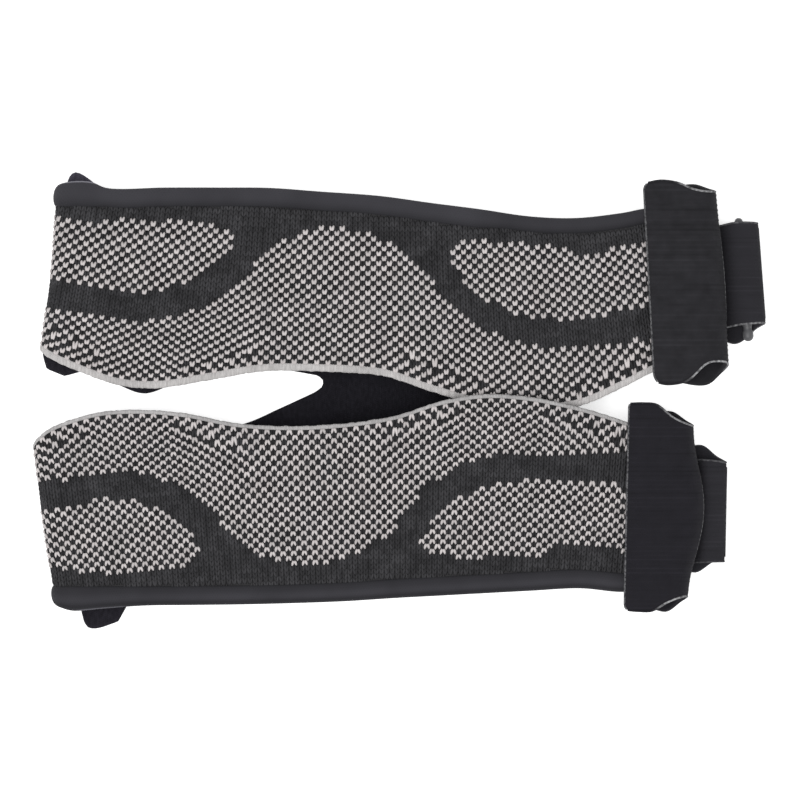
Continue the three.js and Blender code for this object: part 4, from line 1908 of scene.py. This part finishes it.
UPPER_BAND = KnitBand(
    side=Side.UPPER,
    front=table(
        FrontRow,
        (70, 47.5, 0, 70, 9.5, 0, 0.2), (62.5, 48, 0, 63, 7, 0, 0.2),
        (55, 46.7, 0.1, 55, 3, -0.2, 0.4), (43.8, 45.5, 0.3, 45, -1.3, -0.9, 0.6),
        (32.5, 45.9, 0.5, 32.5, -2.8, -1.1, 0.8), (20, 47.7, 0.6, 20, -1.2, -1.1, 0.9),
        (7.5, 49.3, 0.7, 7.5, 2.4, -0.6, 0.9), (-5, 51, 0.8, -3.8, 6.1, 0.1, 0.9),
        (-20, 52.1, 0.9, -19.5, 7.3, 0.5, 0.9), (-32.5, 53, 0.9, -34.5, 7.3, 0.7, 0.9),
        (-45, 53.1, 0.8, -47.5, 5.2, 0.6, 0.8), (-58.8, 53.1, 0.6, -61.2, 3.1, 0.5, 0.7),
        (-73.2, 53, 0.3, -70.5, 3.9, 0.3, 0.5), (-77.2, 54.5, 0.1, -79, 6.8, 0.1, 0.3),
    ),
    fold=(FoldEnd(-85.1, 54.7, 53.6, 51.5), FoldEnd(-89.3, 9.6, 12.4, 14.0)),
    bulge=0.6,
    behind=table(
        Row,
        (-72, 50.6, -74, 14.5, BAND_UNDER_LEVEL), (-62, 50, -63, 14, BAND_UNDER_LEVEL),
    ),
    patches=UPPER_PATCHES,
    marks=table(
        Spot,
        (-86.9, 17.8), (-81.7, 14.7), (-76.5, 11.7), (-53.2, 7.9), (-47.5, 9.2), (-41.6, 10.5),
        (-36.3, 11.9), (2.8, 10.8), (7.8, 8), (13.1, 6.5), (18.8, 4.2), (46, 3), (51.6, 5.5),
        (57.4, 8.5),
    ),
    light_loop=LIGHT_LOOP,
    fan_x=-4.0,
    fan_radius=452.0,
    welt_shown=1.55,
    welt_over=0.2,
    hem_line=53.1,
    hem_painted_shade=[
        (0, 1.05), (0.22, 1.03), (0.56, 0.97), (0.72, 0.86), (0.87, 0.72), (1, 0.63),
    ],
    hem_thin=0.9,
    hem_dim=0.15,
    rim_span=(-83.5, -76.5),
)
LOWER_BAND = KnitBand(
    side=Side.LOWER,
    front=table(
        FrontRow,
        (64, -47.2, 0, 65, -8, 0, 0.2), (55.5, -48, 0, 56.2, -5.1, 0.1, 0.2),
        (45, -47.1, 0.1, 45, -1.7, 1.9, 0.4), (32.5, -47.7, 0.3, 32.5, 0.9, 2.3, 0.5),
        (21.2, -48.3, 0.5, 21.2, 1.6, 2.4, 0.6), (10, -48.9, 0.6, 10, -0.2, 2.1, 0.7),
        (-1.2, -49.5, 0.7, -1.2, -3.8, 1.2, 0.8), (-13.8, -50.3, 0.8, -13.8, -5.7, 0.8, 0.9),
        (-27.5, -50.8, 0.9, -27.5, -6.4, 0.7, 0.9), (-40, -51.1, 0.9, -41.2, -5.6, 0.7, 0.9),
        (-52.5, -51.25, 0.7, -53.8, -3.2, 0.6, 0.8), (-63.8, -51.4, 0.5, -65, -2.3, 0.4, 0.6),
        (-74, -52.1, 0.2, -76.2, -3.1, 0.2, 0.4),
    ),
    fold=(FoldEnd(-85.5, -52.7, -51.2, -49.4), FoldEnd(-91.2, -6.9, -11.0, -14.0)),
    bulge=-0.3,
    behind=table(
        Row,
        (-72, -48.6, -75, -14.5, BAND_UNDER_LEVEL), (-62, -48, -63, -14.5, BAND_UNDER_LEVEL),
    ),
    patches=LOWER_PATCHES,
    marks=table(
        Spot,
        (-85.8, 10.6), (-80.8, 8.1), (-55.5, 7), (-50.8, 8.4), (-46, 10.2), (-40.3, 10.9),
        (-2, 7.9), (3.2, 5.6), (8.4, 4.4), (14, 2.9), (37.4, 3.8), (42.9, 5.6), (48.6, 7.9),
        (54.4, 9.8),
    ),
    light_loop=WIDE_LIGHT_LOOP,
    fan_x=0.0,
    fan_radius=644.0,
    welt_shown=1.2,
    welt_over=-0.15,
    welt_under=0.05,
    hem_line=51.3,
    hem_painted_shade=[
        (0, 0.85), (0.1, 0.58), (0.16, 0.47), (0.22, 0.56), (0.27, 0.7), (0.33, 0.82), (0.4, 0.91),
        (0.46, 0.93), (0.54, 0.89), (0.6, 0.86), (0.65, 0.79), (0.76, 0.71), (0.87, 0.69),
        (1, 0.64),
    ],
    rim_span=(-80.5, -69.0),
    rim_highlight=2.0,
)

UPPER_WIDE = Strap(
    "upper_wide_strap",
    Slot.ELASTIC,
    "upper_knit_panel",
    wide_sections(
        flap=table(
            Row,
            (60.8, 54.1, 63.5, 4.5, 13.3), (65, 54.9, 66.8, 3.8, 13.3),
            (69.5, 54.3, 71.8, 4.8, 13.3),
        ),
        fold=(FoldEnd(78.4, 52.6, 52.2, 54.0), FoldEnd(81.6, 9.2, 8.8, 3.9)),
        bulge=0.5,
        run=table(Row, (67, 53, 68.5, 5, 3), (61.8, 51.5, 62.4, 7.5, 2.7)),
    ),
    thickness=1.6,
    rib_pitch=1.25,
    rib_stand=0.12,
    mouth=(9.0, 21.0),
    mouth_pale=(0.75, 1.0),
    end_pale=0.3,
    fold_highlight=0.5,
    fold_span=(0.2, 0.75),
    corners=(1.8, 2.2),
)
LOWER_WIDE = Strap(
    "lower_wide_strap",
    Slot.ELASTIC,
    "lower_knit_panel",
    wide_sections(
        flap=table(
            Row,
            (57.2, -0.8, 56, -52.5, 13.3), (60.5, -0.7, 59.5, -52.8, 13.3),
            (64.2, -1.1, 63, -52.7, 13.3),
        ),
        fold=(FoldEnd(72.8, -4.2, -6.3, -3.0), FoldEnd(71.4, -50.6, -49.2, -53.0)),
        bulge=3.2,
        run=table(Row, (62.5, -3.5, 61.5, -51.5, 3), (58, -5, 57.4, -50, 2.7)),
    ),
    thickness=1.6,
    mouth=(9.0, 19.0),
    mouth_pale=(0.65, 1.0),
    end_pale=0.35,
    fold_highlight=0.65,
    fold_span=(0.25, 0.85),
    corners=(0.8, 1.6),
)
UPPER_NARROW = Strap(
    "upper_narrow_strap",
    Slot.WEBBING,
    "floor",
    run_sections(
        table(
            Row,
            (75, 43.6, 76.5, 18.2, 2.1), (79.4, 43.6, 80.6, 18, 2.5), (83.8, 44.5, 85.6, 18.9, 4.9),
            (87.2, 44.6, 89, 19.2, 4.7), (89.4, 44.4, 91.3, 19.2, 2.8), (87.4, 43.8, 89.5, 18, 0.9),
            (83.5, 43.4, 84.5, 14.2, 0.8), (78, 43.2, 79, 16, 0.7), (67, 43, 67.5, 18, 0.7),
        )
    ),
    thickness=1.2,
    mouth=(5.0, 24.0),
    mouth_pale=(0.3, 0.7),
    end_pale=0.2,
    fold_highlight=0.25,
)
LOWER_NARROW = Strap(
    "lower_narrow_strap",
    Slot.WEBBING,
    "floor",
    run_sections(
        table(
            Row,
            (68.5, -15.3, 68.3, -40.4, 2.1), (73.4, -15, 73.2, -40.8, 2.5),
            (76.9, -15, 76.3, -40.7, 4.8), (79.6, -15.3, 79, -40.6, 4),
            (81.6, -15.6, 81.1, -40.6, 2.4), (79.4, -14.2, 79, -40.4, 0.9),
            (76, -11.5, 74.4, -43.2, 0.8), (72, -12, 71, -42.4, 0.7), (62, -15, 61.5, -41, 0.7),
        )
    ),
    thickness=1.2,
    rib_stand=0.1,
    mouth=(5.0, 22.0),
    mouth_pale=(0.25, 0.15),
    end_pale=0.2,
    fold_highlight=0.3,
)
UPPER_BAR = StrapBar("upper_strap_bar", (84.9, 45.7), (87.5, 14.7))
LOWER_BAR = StrapBar("lower_strap_bar", (77.1, -14.9), (76.5, -40.6))

BACK = BackPanel(
    outline=[
        [(65, 45), (45, 43), (0, 48), (-40, 51), (-74, 51.5)],
        [(-76.7, 54.4), (-78.2, 55.6), (-80.5, 57), (-81.9, 57.2), (-83.1, 56), (-83.7, 54.2)],
        [(-85.6, 50), (-88.4, 22), (-89.8, 12), (-88.8, 7.8)],
        [
            (-84.3, 6), (-78, 7.2), (-71, 3.9), (-64.2, 1.6), (-57, 4),
            (-46, 7.8), (-34, 8.4), (-26, 7.1), (-20.5, 6.1),
        ],
        [(-19.3, 4.9), (-19.5, 3.5), (-21.5, 1.9)],
        [(-30.2, -2.1), (-39, -5.9), (-58, -9.5), (-84, -11.5)],
        [(-88.4, -14.5), (-86, -46), (-80.7, -50.4)],
        [(-79.4, -55.8), (-78.3, -57.2), (-76.2, -57.4), (-70.8, -55.7)],
        [(-68.2, -51), (-62, -49), (-10, -47.5), (40, -44.5), (59.5, -45)],
        [(59.5, -9.2), (47, -6.6), (41.5, -3)],
        [(40, -0.5), (40.6, 2), (43, 4.2)],
        [(48, 6.4), (65, 8.8)],
    ]
)


def main() -> None:
    """Builds the support in order."""
    logging.basicConfig(level=logging.INFO, format="%(name)s: %(message)s")
    Studio().build()
    finishes = Finishes()
    stitches = StitchNodes()
    cords = CordNodes()
    BACK.build(finishes.back)
    for band in (UPPER_BAND, LOWER_BAND):
        band.build(finishes, stitches)
    for side, strap in ((Side.UPPER, UPPER_WIDE), (Side.LOWER, LOWER_WIDE)):
        strap.build(finishes.elastic[side], cords)
    for strap in (UPPER_NARROW, LOWER_NARROW):
        strap.build(finishes.webbing, cords)
    for bar in (UPPER_BAR, LOWER_BAR):
        bar.build(finishes.bar)


if __name__ == "__main__":
    main()
